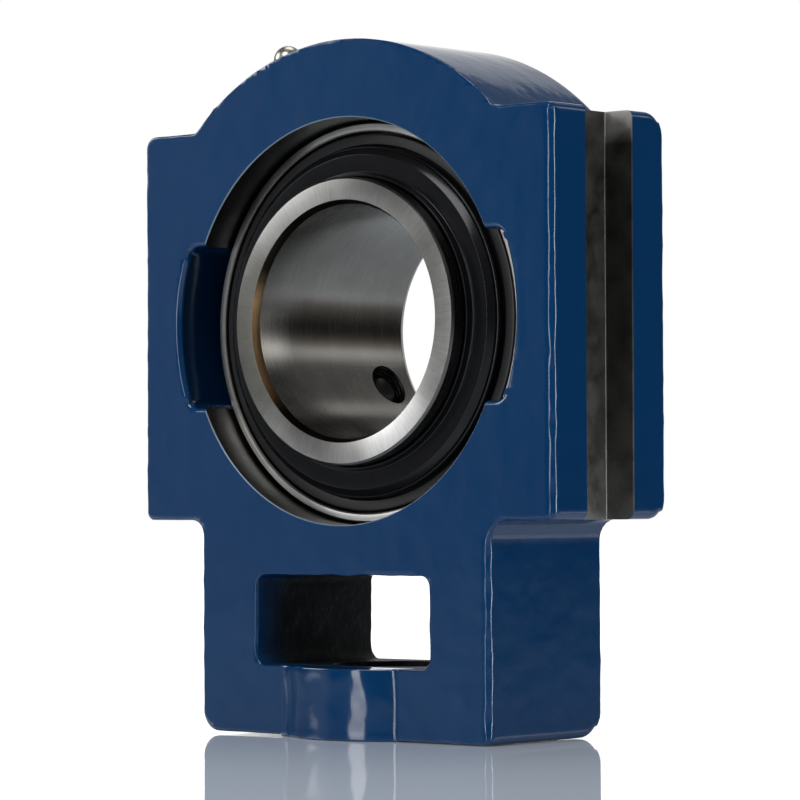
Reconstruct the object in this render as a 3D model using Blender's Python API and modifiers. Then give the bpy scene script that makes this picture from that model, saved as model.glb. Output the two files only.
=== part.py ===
# Take-up bearing unit: a cast housing that slides between two guide rails on its
# side grooves, with a self-aligning ball bearing insert in a spherical seat.
# Metres, +Z up. The unit stands on the end of its tail and the shaft runs along Y,
# with the front face towards -Y.

import math

import bmesh
import bpy
from mathutils import Matrix, Vector

# Fits
CLEARANCE = 0.0003  # between pieces that seat on or run in each other
CUT_OVERRUN = 0.002  # how far a cutter runs past the face that it opens

# Bearing rings and balls
SHAFT_BORE_RADIUS = 0.0254
RACE_WALL = 0.00315  # steel behind the floor of each race
RACE_DEPTH = 0.00265
BALL_RADIUS = 0.00635
BALL_COUNT = 10
RING_LIP_WALL = 0.00224  # outer ring's wall beside its seal
SEAL_SEAT_DEPTH = 0.0029
RING_NOSE = 0.0037  # inner ring past the front flinger's hub
BORE_CHAMFER = 0.001
RING_CORNER = 0.0004

# Cage
CAGE_GAP = 0.0006  # to the lands of both rings
CAGE_BACK = 0.00145  # web behind the balls
CAGE_PRONG_REACH = 0.003  # prongs past the centres of the balls
CAGE_PRONG_GAP = 0.0034  # between the prongs of neighbouring balls
CAGE_PRONG_ROOT = 0.0025
POCKET_EASE = 0.0006  # pockets around the balls

# Seals and flingers
SEAL_RIM_WIDTH = 0.0024
SEAL_WEB = 0.0009
SEAL_DISH = 0.0011  # web set back from the rim's face
FLINGER_GAP = 0.0004
FLINGER_SHEET = 0.0009
FLINGER_REACH = 0.003  # face ahead of the outer ring's face
FLINGER_HUB_REACH = 0.0013  # hub ahead of the flinger's face
FLINGER_ROUND = 0.0006

# Set screws
SET_SCREW_RADIUS = 0.0047
SET_SCREW_LENGTH = 0.008
SET_SCREW_BACKSET = 0.0012  # point short of the shaft's surface
SET_SCREW_CHAMFER = 0.0007
SET_SCREW_MARGIN = 0.0023  # between the tapped hole and the flinger's hub
SET_SCREW_INSET = 0.010  # from the hole's axis to the ring's end
SET_SCREW_ANGLES = (209.5, 89.5)
SOCKET_RADIUS = 0.0029
SOCKET_DEPTH = 0.0042
CUP_RADIUS = 0.0027
CUP_DEPTH = 0.0012

# Casting
PLATE_THICKNESS = 0.0389
GUIDE_LENGTH = 0.086
GROOVE_WIDTH = 0.016
GROOVE_DEPTH = 0.0072
GROOVE_WALL = 0.003  # between a groove's bottom and the loading slot
HEAD_WALL = 0.0152  # around the top of the seat
BRIDGE_WALL = 0.0095  # between the seat and the adjusting slot
SLOT_WIDTH = 0.0492
SLOT_HEIGHT = 0.0197
TAIL_END_WALL = 0.0155
TAIL_SIDE_WALL = 0.01635
BOSS_FOOT = 0.0003  # boss below the plate's own end
SCREW_HOLE_RADIUS = 0.0145
BOSS_WALL = 0.010
MOUTH_EASE = 0.00037  # bore's mouth around the outer ring
MOUTH_CHAMFER = 0.0003
LOADING_EASE = 0.003  # loading slots around the outer ring's sphere
LOADING_SIDE = 0.007  # loading slots beside the outer ring's width
LOADING_OVERRUN = 0.0005  # loading slots past the middle of the seat
SHOULDER_CORNER = 0.0025
TAIL_CORNER = 0.0044
TAIL_FILLET = 0.004
HEAD_FILLET = 0.003
SLOT_CORNER = 0.0025
LOADING_CORNER = 0.003
EDGE_ROUND = 0.0012

# Grease nipple and its passages
NIPPLE_ANGLE = 118.0
NIPPLE_SHANK_RADIUS = 0.0027
NIPPLE_SHANK_LENGTH = 0.0055
NIPPLE_HEX_RADIUS = 0.00404
NIPPLE_HEX_HEIGHT = 0.0032
NIPPLE_NECK_RADIUS = 0.0024
NIPPLE_NECK_LENGTH = 0.0028
NIPPLE_HEAD_RADIUS = 0.00325
NIPPLE_HEAD_TAPER = 0.001
NIPPLE_HEAD_SIDE = 0.0013
NIPPLE_DUCT_RADIUS = 0.0008
NIPPLE_CHAMBER_RADIUS = 0.0015
NIPPLE_MOUTH_RADIUS = 0.0009
NIPPLE_MOUTH_DEPTH = 0.0011
CHECK_BALL_RADIUS = 0.0012
CHECK_SPRING_WIRE = 0.000175
CHECK_SPRING_LENGTH = 0.0026
CHECK_SPRING_TURNS = 4
SPOT_FACE_RADIUS = 0.0055
SPOT_FACE_DEPTH = 0.0004
TAPPED_DEPTH = 0.0068
PASSAGE_RADIUS = 0.00175
GREASE_HOLE_RADIUS = 0.00125
GREASE_HOLE_COUNT = 2
GREASE_GROOVE_HALF_WIDTH = 0.0014
GREASE_GROOVE_DEPTH = 0.0005

# Facets
TURNED_STEPS = 48
SMALL_STEPS = 16
SPHERE_STEPS = 14
CORNER_STEPS = 4
ROUND_STEPS = 2
ARC_STEPS = 6
HEAD_STEPS = 20
SPRING_STEPS = 10
WELD_DISTANCE = 0.000002

# Radii in the bearing, from the shaft outwards
RACE_RADIUS = BALL_RADIUS + CLEARANCE
PITCH_RADIUS = SHAFT_BORE_RADIUS + RACE_WALL + RACE_RADIUS
INNER_LAND_RADIUS = SHAFT_BORE_RADIUS + RACE_WALL + RACE_DEPTH
OUTER_LAND_RADIUS = PITCH_RADIUS + RACE_RADIUS - RACE_DEPTH
SPHERE_RADIUS = PITCH_RADIUS + RACE_RADIUS + RACE_WALL
SEAT_RADIUS = SPHERE_RADIUS + CLEARANCE

# Distances along the shaft from the middle of the seat
RACE_HALF_WIDTH = math.sqrt(RACE_RADIUS ** 2 - (RACE_RADIUS - RACE_DEPTH) ** 2)
LAND_END = RACE_RADIUS + CAGE_BACK
RING_FACE = LAND_END + SEAL_SEAT_DEPTH
FLINGER_FACE = RING_FACE + FLINGER_REACH
HUB_END = FLINGER_FACE + FLINGER_HUB_REACH
SHORT_SIDE = HUB_END + RING_NOSE
SET_SCREW_HOLE_RADIUS = SET_SCREW_RADIUS + CLEARANCE
SET_SCREW_AXIS = HUB_END + SET_SCREW_MARGIN + SET_SCREW_HOLE_RADIUS
LONG_SIDE = SET_SCREW_AXIS + SET_SCREW_INSET

# Where the outer ring's sphere meets its faces, and what is sized by that edge
RING_EDGE_RADIUS = math.sqrt(SPHERE_RADIUS ** 2 - RING_FACE ** 2)
SEAL_SEAT_RADIUS = RING_EDGE_RADIUS - RING_LIP_WALL
SEAL_EYE_RADIUS = SEAL_SEAT_RADIUS - CLEARANCE - SEAL_RIM_WIDTH
FLINGER_RADIUS = SEAL_EYE_RADIUS - FLINGER_GAP
MOUTH_RADIUS = RING_EDGE_RADIUS + MOUTH_EASE

# Casting sizes that follow from the bearing's
LOADING_RADIUS = SPHERE_RADIUS + LOADING_EASE
LOADING_HALF_HEIGHT = RING_FACE + LOADING_SIDE
GROOVE_BOTTOM = LOADING_RADIUS + GROOVE_WALL
HALF_WIDTH = GROOVE_BOTTOM + GROOVE_DEPTH
HEAD_RADIUS = SEAT_RADIUS + HEAD_WALL
SLOT_TOP = SEAT_RADIUS + BRIDGE_WALL
SLOT_FLOOR = SLOT_TOP + SLOT_HEIGHT
TAIL_LENGTH = SLOT_FLOOR + TAIL_END_WALL
TAIL_HALF_WIDTH = SLOT_WIDTH / 2 + TAIL_SIDE_WALL
BOSS_RADIUS = SCREW_HOLE_RADIUS + BOSS_WALL
HALF_PLATE = PLATE_THICKNESS / 2
HALF_GUIDE = GUIDE_LENGTH / 2

# Radii of the cage and place of the grease groove on the outer ring
CAGE_INNER_RADIUS = INNER_LAND_RADIUS + CAGE_GAP
CAGE_OUTER_RADIUS = OUTER_LAND_RADIUS - CAGE_GAP
GREASE_GROOVE_AXIS = (RACE_HALF_WIDTH + LAND_END) / 2

# Distances along the nipple from the face of its seat
NIPPLE_SEAT = HEAD_RADIUS - SPOT_FACE_DEPTH
NIPPLE_HEAD_BASE = NIPPLE_HEX_HEIGHT + NIPPLE_NECK_LENGTH + NIPPLE_HEAD_TAPER
NIPPLE_HEAD_CENTRE = NIPPLE_HEAD_BASE + NIPPLE_HEAD_SIDE
NIPPLE_TOP = NIPPLE_HEAD_CENTRE + NIPPLE_HEAD_RADIUS
CHAMBER_TOP = NIPPLE_TOP - NIPPLE_MOUTH_DEPTH
CHECK_BALL_DROP = math.sqrt((CHECK_BALL_RADIUS + CLEARANCE / 2) ** 2 - NIPPLE_MOUTH_RADIUS ** 2)
CHECK_BALL_HEIGHT = CHAMBER_TOP - CHECK_BALL_DROP
SPRING_TOP = CHECK_BALL_HEIGHT - CHECK_BALL_RADIUS
CHAMBER_FLOOR = SPRING_TOP - CHECK_SPRING_LENGTH - CLEARANCE / 2

# The origin lies under the middle of the unit's depth, on the floor
FRONT_REACH = max(BOSS_RADIUS, SHORT_SIDE, HALF_PLATE)
REAR_REACH = max(LONG_SIDE, BOSS_RADIUS, HALF_PLATE)
MID_PLANE_Y = (FRONT_REACH - REAR_REACH) / 2

COLORS = {
    "blue_enamel": ((0.010, 0.045, 0.125), 0.25, 0.0),
    "ground_steel": ((0.55, 0.54, 0.52), 0.3, 1.0),
    "polished_steel": ((0.72, 0.72, 0.72), 0.1, 1.0),
    "seal_rubber": ((0.012, 0.012, 0.013), 0.45, 0.0),
    "cage_polyamide": ((0.55, 0.50, 0.38), 0.5, 0.0),
    "blackened_steel": ((0.05, 0.05, 0.05), 0.4, 1.0),
    "zinc_plate": ((0.62, 0.62, 0.58), 0.25, 1.0),
}


def clear_scene():
    for obj in list(bpy.data.objects):
        bpy.data.objects.remove(obj, do_unlink=True)


def new_collection(name):
    collection = bpy.data.collections.new(name)
    bpy.context.scene.collection.children.link(collection)
    return collection


def new_material(name):
    color, roughness, metallic = COLORS[name]
    material = bpy.data.materials.new(name)
    material.use_nodes = True
    shader = material.node_tree.nodes["Principled BSDF"]
    shader.inputs["Base Color"].default_value = (*color, 1.0)
    shader.inputs["Roughness"].default_value = roughness
    shader.inputs["Metallic"].default_value = metallic
    return material


def add_frame():
    # In this frame x is to the right, y up and z to the front, from the middle of the seat.
    frame = bpy.data.objects.new("bore_frame", None)
    frame.location = (0.0, MID_PLANE_Y, TAIL_LENGTH)
    frame.rotation_euler = (math.radians(90), 0.0, 0.0)
    bpy.context.scene.collection.objects.link(frame)
    return frame


def add_object(name, mesh, collection, parent, matrix=None):
    obj = bpy.data.objects.new(name, mesh)
    collection.objects.link(obj)
    obj.parent = parent
    if matrix is not None:
        obj.matrix_local = matrix
    return obj


def hide_cutter(obj):
    obj.hide_render = True
    obj.display_type = "WIRE"
    return obj


def weld(mesh, cap_heights=()):
    # Closes the seams, and makes one face of all that lies flat at each of the heights.
    bm = bmesh.new()
    bm.from_mesh(mesh)
    bmesh.ops.remove_doubles(bm, verts=bm.verts, dist=WELD_DISTANCE)
    for height in cap_heights:
        cap = [face for face in bm.faces if all(abs(v.co.z - height) < WELD_DISTANCE for v in face.verts)]
        bmesh.ops.dissolve_faces(bm, faces=cap)
    bm.to_mesh(mesh)
    bm.free()


def baked_mesh(obj, cap_heights=()):
    # The mesh that the object's curve or modifiers make, with the object then removed.
    bpy.context.view_layer.update()
    evaluated = obj.evaluated_get(bpy.context.evaluated_depsgraph_get())
    mesh = bpy.data.meshes.new_from_object(evaluated)
    weld(mesh, cap_heights)
    source = obj.data
    bpy.data.objects.remove(obj)
    bpy.data.batch_remove([source])
    return mesh


def smooth(mesh, angle=35):
    mesh.shade_smooth()
    mesh.set_sharp_from_angle(angle=math.radians(angle))
    return mesh


def turned_mesh(name, profile, steps, closed=True):
    # Points (radius, height) run down the outer side; a closed profile then comes up inside.
    mesh = bpy.data.meshes.new(name)
    edges = [(i, i + 1) for i in range(len(profile) - 1)]
    if closed:
        edges.append((len(profile) - 1, 0))
    mesh.from_pydata([(radius, 0.0, height) for radius, height in profile], edges, [])
    obj = bpy.data.objects.new(name, mesh)
    bpy.context.scene.collection.objects.link(obj)
    screw = obj.modifiers.new("turn", "SCREW")
    screw.angle = math.tau
    screw.steps = steps
    screw.render_steps = steps
    screw.use_merge_vertices = True
    screw.merge_threshold = WELD_DISTANCE
    turned = smooth(baked_mesh(obj))
    turned.name = name
    return turned


def plate_mesh(name, outline, low, high):
    # A flat plate of the given outline, from z = low to z = high.
    curve = bpy.data.curves.new(name, "CURVE")
    curve.dimensions = "2D"
    curve.fill_mode = "BOTH"
    curve.extrude = (high - low) / 2
    spline = curve.splines.new("POLY")
    spline.points.add(len(outline) - 1)
    for point, (x, y) in zip(spline.points, outline):
        point.co = (x, y, 0.0, 1.0)
    spline.use_cyclic_u = True
    obj = bpy.data.objects.new(name, curve)
    bpy.context.scene.collection.objects.link(obj)
    plate = baked_mesh(obj, (-curve.extrude, curve.extrude))
    plate.name = name
    plate.transform(Matrix.Translation((0.0, 0.0, (high + low) / 2)))
    return plate


def box_mesh(name, low, high):
    low, high = Vector(low), Vector(high)
    bm = bmesh.new()
    bmesh.ops.create_cube(bm, size=1.0)
    bmesh.ops.scale(bm, vec=high - low, verts=bm.verts)
    bmesh.ops.translate(bm, vec=(high + low) / 2, verts=bm.verts)
    mesh = bpy.data.meshes.new(name)
    bm.to_mesh(mesh)
    bm.free()
    return mesh


def rod_mesh(name, radius, low, high, steps):
    # A cylinder or, with few steps, a prism along z.
    bm = bmesh.new()
    middle = Matrix.Translation((0.0, 0.0, (high + low) / 2))
    bmesh.ops.create_cone(
        bm, cap_ends=True, segments=steps, radius1=radius, radius2=radius,
        depth=high - low, matrix=middle)
    mesh = bpy.data.meshes.new(name)
    bm.to_mesh(mesh)
    bm.free()
    return mesh


def boolean(obj, cutter, operation="DIFFERENCE"):
    modifier = obj.modifiers.new(cutter.name, "BOOLEAN")
    modifier.operation = operation
    modifier.solver = "EXACT"
    modifier.object = cutter


def outward(angle, distance=0.0, along=0.0):
    # Turns z to point away from the shaft's axis at this angle, at this distance from it.
    turn = Matrix.Rotation(math.radians(angle), 4, "Z")
    lay = Matrix.Rotation(math.radians(90), 4, "Y")
    return turn @ Matrix.Translation((distance, 0.0, along)) @ lay


def arc(radius, start, end, steps, centre=(0.0, 0.0)):
    # Points on a circle from one angle to another, in radians, both ends included.
    points = []
    for i in range(steps + 1):
        angle = start + (end - start) * i / steps
        points.append((centre[0] + radius * math.cos(angle), centre[1] + radius * math.sin(angle)))
    return points


def rounded(corners):
    # An outline whose corners (x, y, radius) are rounded; radius 0 stays sharp.
    outline = []
    for i, (x, y, radius) in enumerate(corners):
        corner = Vector((x, y))
        if radius == 0.0:
            outline.append((x, y))
            continue
        back = (Vector(corners[i - 1][:2]) - corner).normalized()
        ahead = (Vector(corners[(i + 1) % len(corners)][:2]) - corner).normalized()
        half_angle = back.angle(ahead) / 2
        centre = corner + (back + ahead).normalized() * (radius / math.sin(half_angle))
        reach = radius / math.tan(half_angle)
        first = corner + back * reach - centre
        last = corner + ahead * reach - centre
        for step in range(CORNER_STEPS + 1):
            spoke = first.lerp(last, step / CORNER_STEPS).normalized() * radius
            outline.append(tuple(centre + spoke))
    return outline


def rectangle(left, bottom, right, top, radius):
    return [(left, bottom, radius), (right, bottom, radius), (right, top, radius), (left, top, radius)]


def casting_outline():
    start = math.asin(HALF_GUIDE / HEAD_RADIUS)
    head = arc(HEAD_RADIUS, start, math.pi - start, HEAD_STEPS)
    side = [
        (TAIL_HALF_WIDTH, BOSS_FOOT - TAIL_LENGTH, TAIL_CORNER),
        (TAIL_HALF_WIDTH, -HALF_GUIDE, TAIL_FILLET),
        (HALF_WIDTH, -HALF_GUIDE, SHOULDER_CORNER),
        (HALF_WIDTH, HALF_GUIDE, SHOULDER_CORNER),
    ]
    crown = [(*head[0], HEAD_FILLET)]
    crown += [(*point, 0.0) for point in head[1:-1]]
    crown.append((*head[-1], HEAD_FILLET))
    return rounded(side + crown + [(-x, y, radius) for x, y, radius in reversed(side)])


def loading_outline():
    start = math.asin(LOADING_HALF_HEIGHT / LOADING_RADIUS)
    right = arc(LOADING_RADIUS, -start, start, ARC_STEPS)
    wall = [(*right[0], LOADING_CORNER)]
    wall += [(*point, 0.0) for point in right[1:-1]]
    wall.append((*right[-1], LOADING_CORNER))
    return rounded(wall + [(-x, -y, radius) for x, y, radius in wall])


def seat_profile():
    # The space that the seat leaves open: spherical in the middle, with a chamfered mouth at each face.
    half_seat = math.acos(MOUTH_RADIUS / SEAT_RADIUS)
    outer = HALF_PLATE + CUT_OVERRUN
    front = [
        (0.0, outer),
        (MOUTH_RADIUS + MOUTH_CHAMFER + CUT_OVERRUN, outer),
        (MOUTH_RADIUS, HALF_PLATE - MOUTH_CHAMFER),
    ]
    return front + arc(SEAT_RADIUS, half_seat, -half_seat, ARC_STEPS) + [(r, -z) for r, z in reversed(front)]


def nipple_hole_profile():
    # Spot face, tapped hole and narrow passage, measured from the middle of the seat.
    outer = HEAD_RADIUS + CUT_OVERRUN
    tapped_radius = NIPPLE_SHANK_RADIUS + CLEARANCE
    tapped_end = NIPPLE_SEAT - TAPPED_DEPTH
    return [
        (0.0, outer),
        (SPOT_FACE_RADIUS, outer),
        (SPOT_FACE_RADIUS, NIPPLE_SEAT),
        (tapped_radius, NIPPLE_SEAT),
        (tapped_radius, tapped_end),
        (PASSAGE_RADIUS, tapped_end - tapped_radius + PASSAGE_RADIUS),
        (PASSAGE_RADIUS, SEAT_RADIUS - CUT_OVERRUN),
        (0.0, SEAT_RADIUS - CUT_OVERRUN),
    ]


def add_housing(parts, cutters, frame, material):
    plate = plate_mesh("housing", casting_outline(), -HALF_PLATE, HALF_PLATE)
    housing = add_object("housing", plate, parts, frame)
    housing.data.materials.append(material)
    edges = housing.modifiers.new("cast_edges", "BEVEL")
    edges.width = EDGE_ROUND
    edges.segments = 2
    edges.limit_method = "ANGLE"
    edges.angle_limit = math.radians(50)

    boss_top = -SLOT_FLOOR + SLOT_HEIGHT / 2
    upright = Matrix.Rotation(math.radians(-90), 4, "X")
    boss = rod_mesh("boss", BOSS_RADIUS, -TAIL_LENGTH, boss_top, TURNED_STEPS)
    boolean(housing, hide_cutter(add_object("boss", boss, cutters, frame, upright)), "UNION")

    slot = rounded(rectangle(-SLOT_WIDTH / 2, -SLOT_FLOOR, SLOT_WIDTH / 2, -SLOT_TOP, SLOT_CORNER))
    slot_depth = max(BOSS_RADIUS, HALF_PLATE) + CUT_OVERRUN
    past_plate = HALF_PLATE + CUT_OVERRUN
    screw_hole = rod_mesh(
        "screw_hole", SCREW_HOLE_RADIUS, -TAIL_LENGTH - CUT_OVERRUN,
        -SLOT_FLOOR + CUT_OVERRUN, TURNED_STEPS)
    nipple_hole = turned_mesh("nipple_hole", nipple_hole_profile(), SMALL_STEPS, closed=False)
    shapes = [
        (turned_mesh("seat", seat_profile(), TURNED_STEPS, closed=False), None),
        (plate_mesh("loading_slots", loading_outline(), -LOADING_OVERRUN, past_plate), None),
        (plate_mesh("adjusting_slot", slot, -slot_depth, slot_depth), None),
        (screw_hole, upright),
        (nipple_hole, outward(NIPPLE_ANGLE)),
    ]
    for name, side in (("left_groove", -1), ("right_groove", 1)):
        reach = sorted((side * GROOVE_BOTTOM, side * (HALF_WIDTH + CUT_OVERRUN)))
        low = (reach[0], -HALF_GUIDE - CUT_OVERRUN, -GROOVE_WIDTH / 2)
        high = (reach[1], HALF_GUIDE + CUT_OVERRUN, GROOVE_WIDTH / 2)
        shapes.append((box_mesh(name, low, high), None))
    for mesh, matrix in shapes:
        boolean(housing, hide_cutter(add_object(mesh.name, mesh, cutters, frame, matrix)))
    return housing


def outer_ring_profile():
    edge = math.asin((RING_FACE - RING_CORNER) / SPHERE_RADIUS)
    race_edge = math.asin(RACE_HALF_WIDTH / RACE_RADIUS)
    groove_edge = math.sqrt((SPHERE_RADIUS - GREASE_GROOVE_DEPTH) ** 2 - GREASE_GROOVE_AXIS ** 2)
    front = GREASE_GROOVE_AXIS + GREASE_GROOVE_HALF_WIDTH
    back = GREASE_GROOVE_AXIS - GREASE_GROOVE_HALF_WIDTH
    sphere = arc(SPHERE_RADIUS, edge, math.asin(front / SPHERE_RADIUS), 1)
    sphere += [(groove_edge, front), (groove_edge, back)]
    sphere += arc(SPHERE_RADIUS, math.asin(back / SPHERE_RADIUS), -edge, ARC_STEPS)
    face = RING_EDGE_RADIUS - RING_CORNER
    race = arc(RACE_RADIUS, -race_edge, race_edge, ARC_STEPS, (PITCH_RADIUS, 0.0))
    rear = [(face, -RING_FACE), (SEAL_SEAT_RADIUS, -RING_FACE), (SEAL_SEAT_RADIUS, -LAND_END),
            (OUTER_LAND_RADIUS, -LAND_END)]
    return sphere + rear + race + [(r, -z) for r, z in reversed(rear)]


def add_outer_ring(parts, cutters, frame, material):
    mesh = turned_mesh("outer_ring", outer_ring_profile(), TURNED_STEPS)
    ring = add_object("outer_ring", mesh, parts, frame)
    ring.data.materials.append(material)
    for i in range(GREASE_HOLE_COUNT):
        angle = NIPPLE_ANGLE + 360 * i / GREASE_HOLE_COUNT
        hole = rod_mesh("grease_hole", GREASE_HOLE_RADIUS, OUTER_LAND_RADIUS - CUT_OVERRUN,
                        SPHERE_RADIUS + CUT_OVERRUN, SMALL_STEPS)
        place = outward(angle, 0.0, GREASE_GROOVE_AXIS)
        boolean(ring, hide_cutter(add_object("grease_hole", hole, cutters, frame, place)))
    return ring


def inner_ring_profile():
    race_edge = math.asin(RACE_HALF_WIDTH / RACE_RADIUS)
    race = arc(RACE_RADIUS, math.pi - race_edge, math.pi + race_edge, ARC_STEPS, (PITCH_RADIUS, 0.0))
    front = [
        (SHAFT_BORE_RADIUS, SHORT_SIDE - BORE_CHAMFER),
        (SHAFT_BORE_RADIUS + BORE_CHAMFER, SHORT_SIDE),
        (INNER_LAND_RADIUS - RING_CORNER, SHORT_SIDE),
        (INNER_LAND_RADIUS, SHORT_SIDE - RING_CORNER),
    ]
    rear = [
        (INNER_LAND_RADIUS, -LONG_SIDE + RING_CORNER),
        (INNER_LAND_RADIUS - RING_CORNER, -LONG_SIDE),
        (SHAFT_BORE_RADIUS + BORE_CHAMFER, -LONG_SIDE),
        (SHAFT_BORE_RADIUS, -LONG_SIDE + BORE_CHAMFER),
    ]
    return front + race + rear


def add_inner_ring(parts, cutters, frame, material):
    mesh = turned_mesh("inner_ring", inner_ring_profile(), TURNED_STEPS)
    ring = add_object("inner_ring", mesh, parts, frame)
    ring.data.materials.append(material)
    for angle in SET_SCREW_ANGLES:
        hole = rod_mesh("set_screw_hole", SET_SCREW_HOLE_RADIUS, SHAFT_BORE_RADIUS - CUT_OVERRUN,
                        INNER_LAND_RADIUS + CUT_OVERRUN, SMALL_STEPS)
        place = outward(angle, 0.0, -SET_SCREW_AXIS)
        boolean(ring, hide_cutter(add_object("set_screw_hole", hole, cutters, frame, place)))
    return ring


def set_screw_profile():
    # From the socket end down to the cup point, on the screw's own axis.
    return [
        (0.0, SET_SCREW_LENGTH),
        (SET_SCREW_RADIUS - SET_SCREW_CHAMFER, SET_SCREW_LENGTH),
        (SET_SCREW_RADIUS, SET_SCREW_LENGTH - SET_SCREW_CHAMFER),
        (SET_SCREW_RADIUS, CUP_DEPTH),
        (CUP_RADIUS, 0.0),
        (0.0, CUP_DEPTH),
    ]


def add_set_screws(parts, cutters, frame, material):
    for i, angle in enumerate(SET_SCREW_ANGLES, start=1):
        name = f"set_screw_{i}"
        mesh = turned_mesh(name, set_screw_profile(), SMALL_STEPS, closed=False)
        place = outward(angle, SHAFT_BORE_RADIUS + SET_SCREW_BACKSET, -SET_SCREW_AXIS)
        screw = add_object(name, mesh, parts, frame, place)
        screw.data.materials.append(material)
        socket = rod_mesh("hex_socket", SOCKET_RADIUS, SET_SCREW_LENGTH - SOCKET_DEPTH,
                          SET_SCREW_LENGTH + CUT_OVERRUN, 6)
        boolean(screw, hide_cutter(add_object("hex_socket", socket, cutters, frame, place)))


def ball_angle(i):
    return math.tau * i / BALL_COUNT


def sphere_mesh(name, radius, centres):
    bm = bmesh.new()
    for centre in centres:
        bmesh.ops.create_uvsphere(
            bm, u_segments=SPHERE_STEPS, v_segments=SPHERE_STEPS // 2 + 1, radius=radius,
            matrix=Matrix.Translation(centre))
    mesh = bpy.data.meshes.new(name)
    bm.to_mesh(mesh)
    bm.free()
    return smooth(mesh, 60)


def add_balls(parts, frame, material):
    mesh = sphere_mesh("ball", BALL_RADIUS, [(0.0, 0.0, 0.0)])
    mesh.materials.append(material)
    for i in range(BALL_COUNT):
        place = Matrix.Rotation(ball_angle(i), 4, "Z") @ Matrix.Translation((PITCH_RADIUS, 0.0, 0.0))
        add_object(f"ball_{i + 1:02d}", mesh, parts, frame, place)


def pocket_mesh():
    places = [Matrix.Rotation(ball_angle(i), 4, "Z") for i in range(BALL_COUNT)]
    centres = [place @ Vector((PITCH_RADIUS, 0.0, 0.0)) for place in places]
    return sphere_mesh("ball_pockets", BALL_RADIUS + POCKET_EASE, centres)


def prong_gap_mesh():
    # One radial gap between each two balls, open to the front.
    bm = bmesh.new()
    size = Vector((CAGE_OUTER_RADIUS - CAGE_INNER_RADIUS + 2 * CUT_OVERRUN, CAGE_PRONG_GAP,
                   CAGE_PRONG_REACH + CAGE_PRONG_ROOT + CUT_OVERRUN))
    centre = Vector((PITCH_RADIUS, 0.0, CAGE_PRONG_REACH + CUT_OVERRUN - size.z / 2))
    for i in range(BALL_COUNT):
        turn = Matrix.Rotation(ball_angle(i + 0.5), 4, "Z")
        place = turn @ Matrix.Translation(centre) @ Matrix.Diagonal((*size, 1.0))
        bmesh.ops.create_cube(bm, size=1.0, matrix=place)
    mesh = bpy.data.meshes.new("prong_gaps")
    bm.to_mesh(mesh)
    bm.free()
    return mesh


def add_cage(parts, cutters, frame, material):
    profile = [
        (CAGE_OUTER_RADIUS, CAGE_PRONG_REACH),
        (CAGE_OUTER_RADIUS, -LAND_END),
        (CAGE_INNER_RADIUS, -LAND_END),
        (CAGE_INNER_RADIUS, CAGE_PRONG_REACH),
    ]
    mesh = turned_mesh("cage", profile, TURNED_STEPS)
    cage = add_object("cage", mesh, parts, frame)
    cage.data.materials.append(material)
    for cutter in (prong_gap_mesh(), pocket_mesh()):
        boolean(cage, hide_cutter(add_object(cutter.name, cutter, cutters, frame)))
    return cage


def seal_profile():
    rim = SEAL_SEAT_RADIUS - CLEARANCE
    lip = INNER_LAND_RADIUS + CLEARANCE
    web_face = RING_FACE - SEAL_DISH
    return [
        (rim, RING_FACE),
        (rim, LAND_END + CLEARANCE),
        (SEAL_EYE_RADIUS, LAND_END + CLEARANCE),
        (SEAL_EYE_RADIUS - SEAL_DISH, web_face - SEAL_WEB),
        (lip, web_face - SEAL_WEB),
        (lip, web_face),
        (SEAL_EYE_RADIUS - CLEARANCE, web_face),
        (SEAL_EYE_RADIUS, RING_FACE),
    ]


def flinger_profile():
    # A hub on the inner ring, a flat face and a rim that turns back over the seal.
    hub = INNER_LAND_RADIUS + CLEARANCE
    hub_outer = hub + FLINGER_SHEET
    inside_face = FLINGER_FACE - FLINGER_SHEET
    inside_rim = FLINGER_RADIUS - FLINGER_SHEET
    rim_end = RING_FACE + FLINGER_GAP
    hub_back = RING_FACE - SEAL_DISH + FLINGER_GAP
    corner = arc(FLINGER_ROUND, math.pi / 2, 0.0, ROUND_STEPS,
                 (FLINGER_RADIUS - FLINGER_ROUND, FLINGER_FACE - FLINGER_ROUND))
    return corner + [
        (FLINGER_RADIUS, rim_end),
        (inside_rim, rim_end),
        (inside_rim, inside_face),
        (hub_outer, inside_face),
        (hub_outer, hub_back),
        (hub, hub_back),
        (hub, HUB_END),
        (hub + FLINGER_SHEET / 2, HUB_END),
        (hub_outer, FLINGER_FACE - FLINGER_SHEET / 2),
        (hub_outer + FLINGER_SHEET, FLINGER_FACE),
    ]


def add_closures(parts, frame, rubber):
    # The same seal and flinger close both sides, turned over for the rear.
    seal = turned_mesh("seal", seal_profile(), TURNED_STEPS)
    flinger = turned_mesh("flinger", flinger_profile(), TURNED_STEPS)
    for mesh in (seal, flinger):
        mesh.materials.append(rubber)
        add_object(f"front_{mesh.name}", mesh, parts, frame)
        add_object(f"rear_{mesh.name}", mesh, parts, frame, Matrix.Rotation(math.pi, 4, "X"))


def nipple_profile():
    head = arc(NIPPLE_HEAD_RADIUS, math.pi / 2, 0.0, ARC_STEPS, (0.0, NIPPLE_HEAD_CENTRE))
    return head + [
        (NIPPLE_HEAD_RADIUS, NIPPLE_HEAD_BASE),
        (NIPPLE_NECK_RADIUS, NIPPLE_HEAD_BASE - NIPPLE_HEAD_TAPER),
        (NIPPLE_NECK_RADIUS, NIPPLE_HEX_HEIGHT / 2),
        (NIPPLE_SHANK_RADIUS, NIPPLE_HEX_HEIGHT / 2),
        (NIPPLE_SHANK_RADIUS, -NIPPLE_SHANK_LENGTH),
        (0.0, -NIPPLE_SHANK_LENGTH),
    ]


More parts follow.
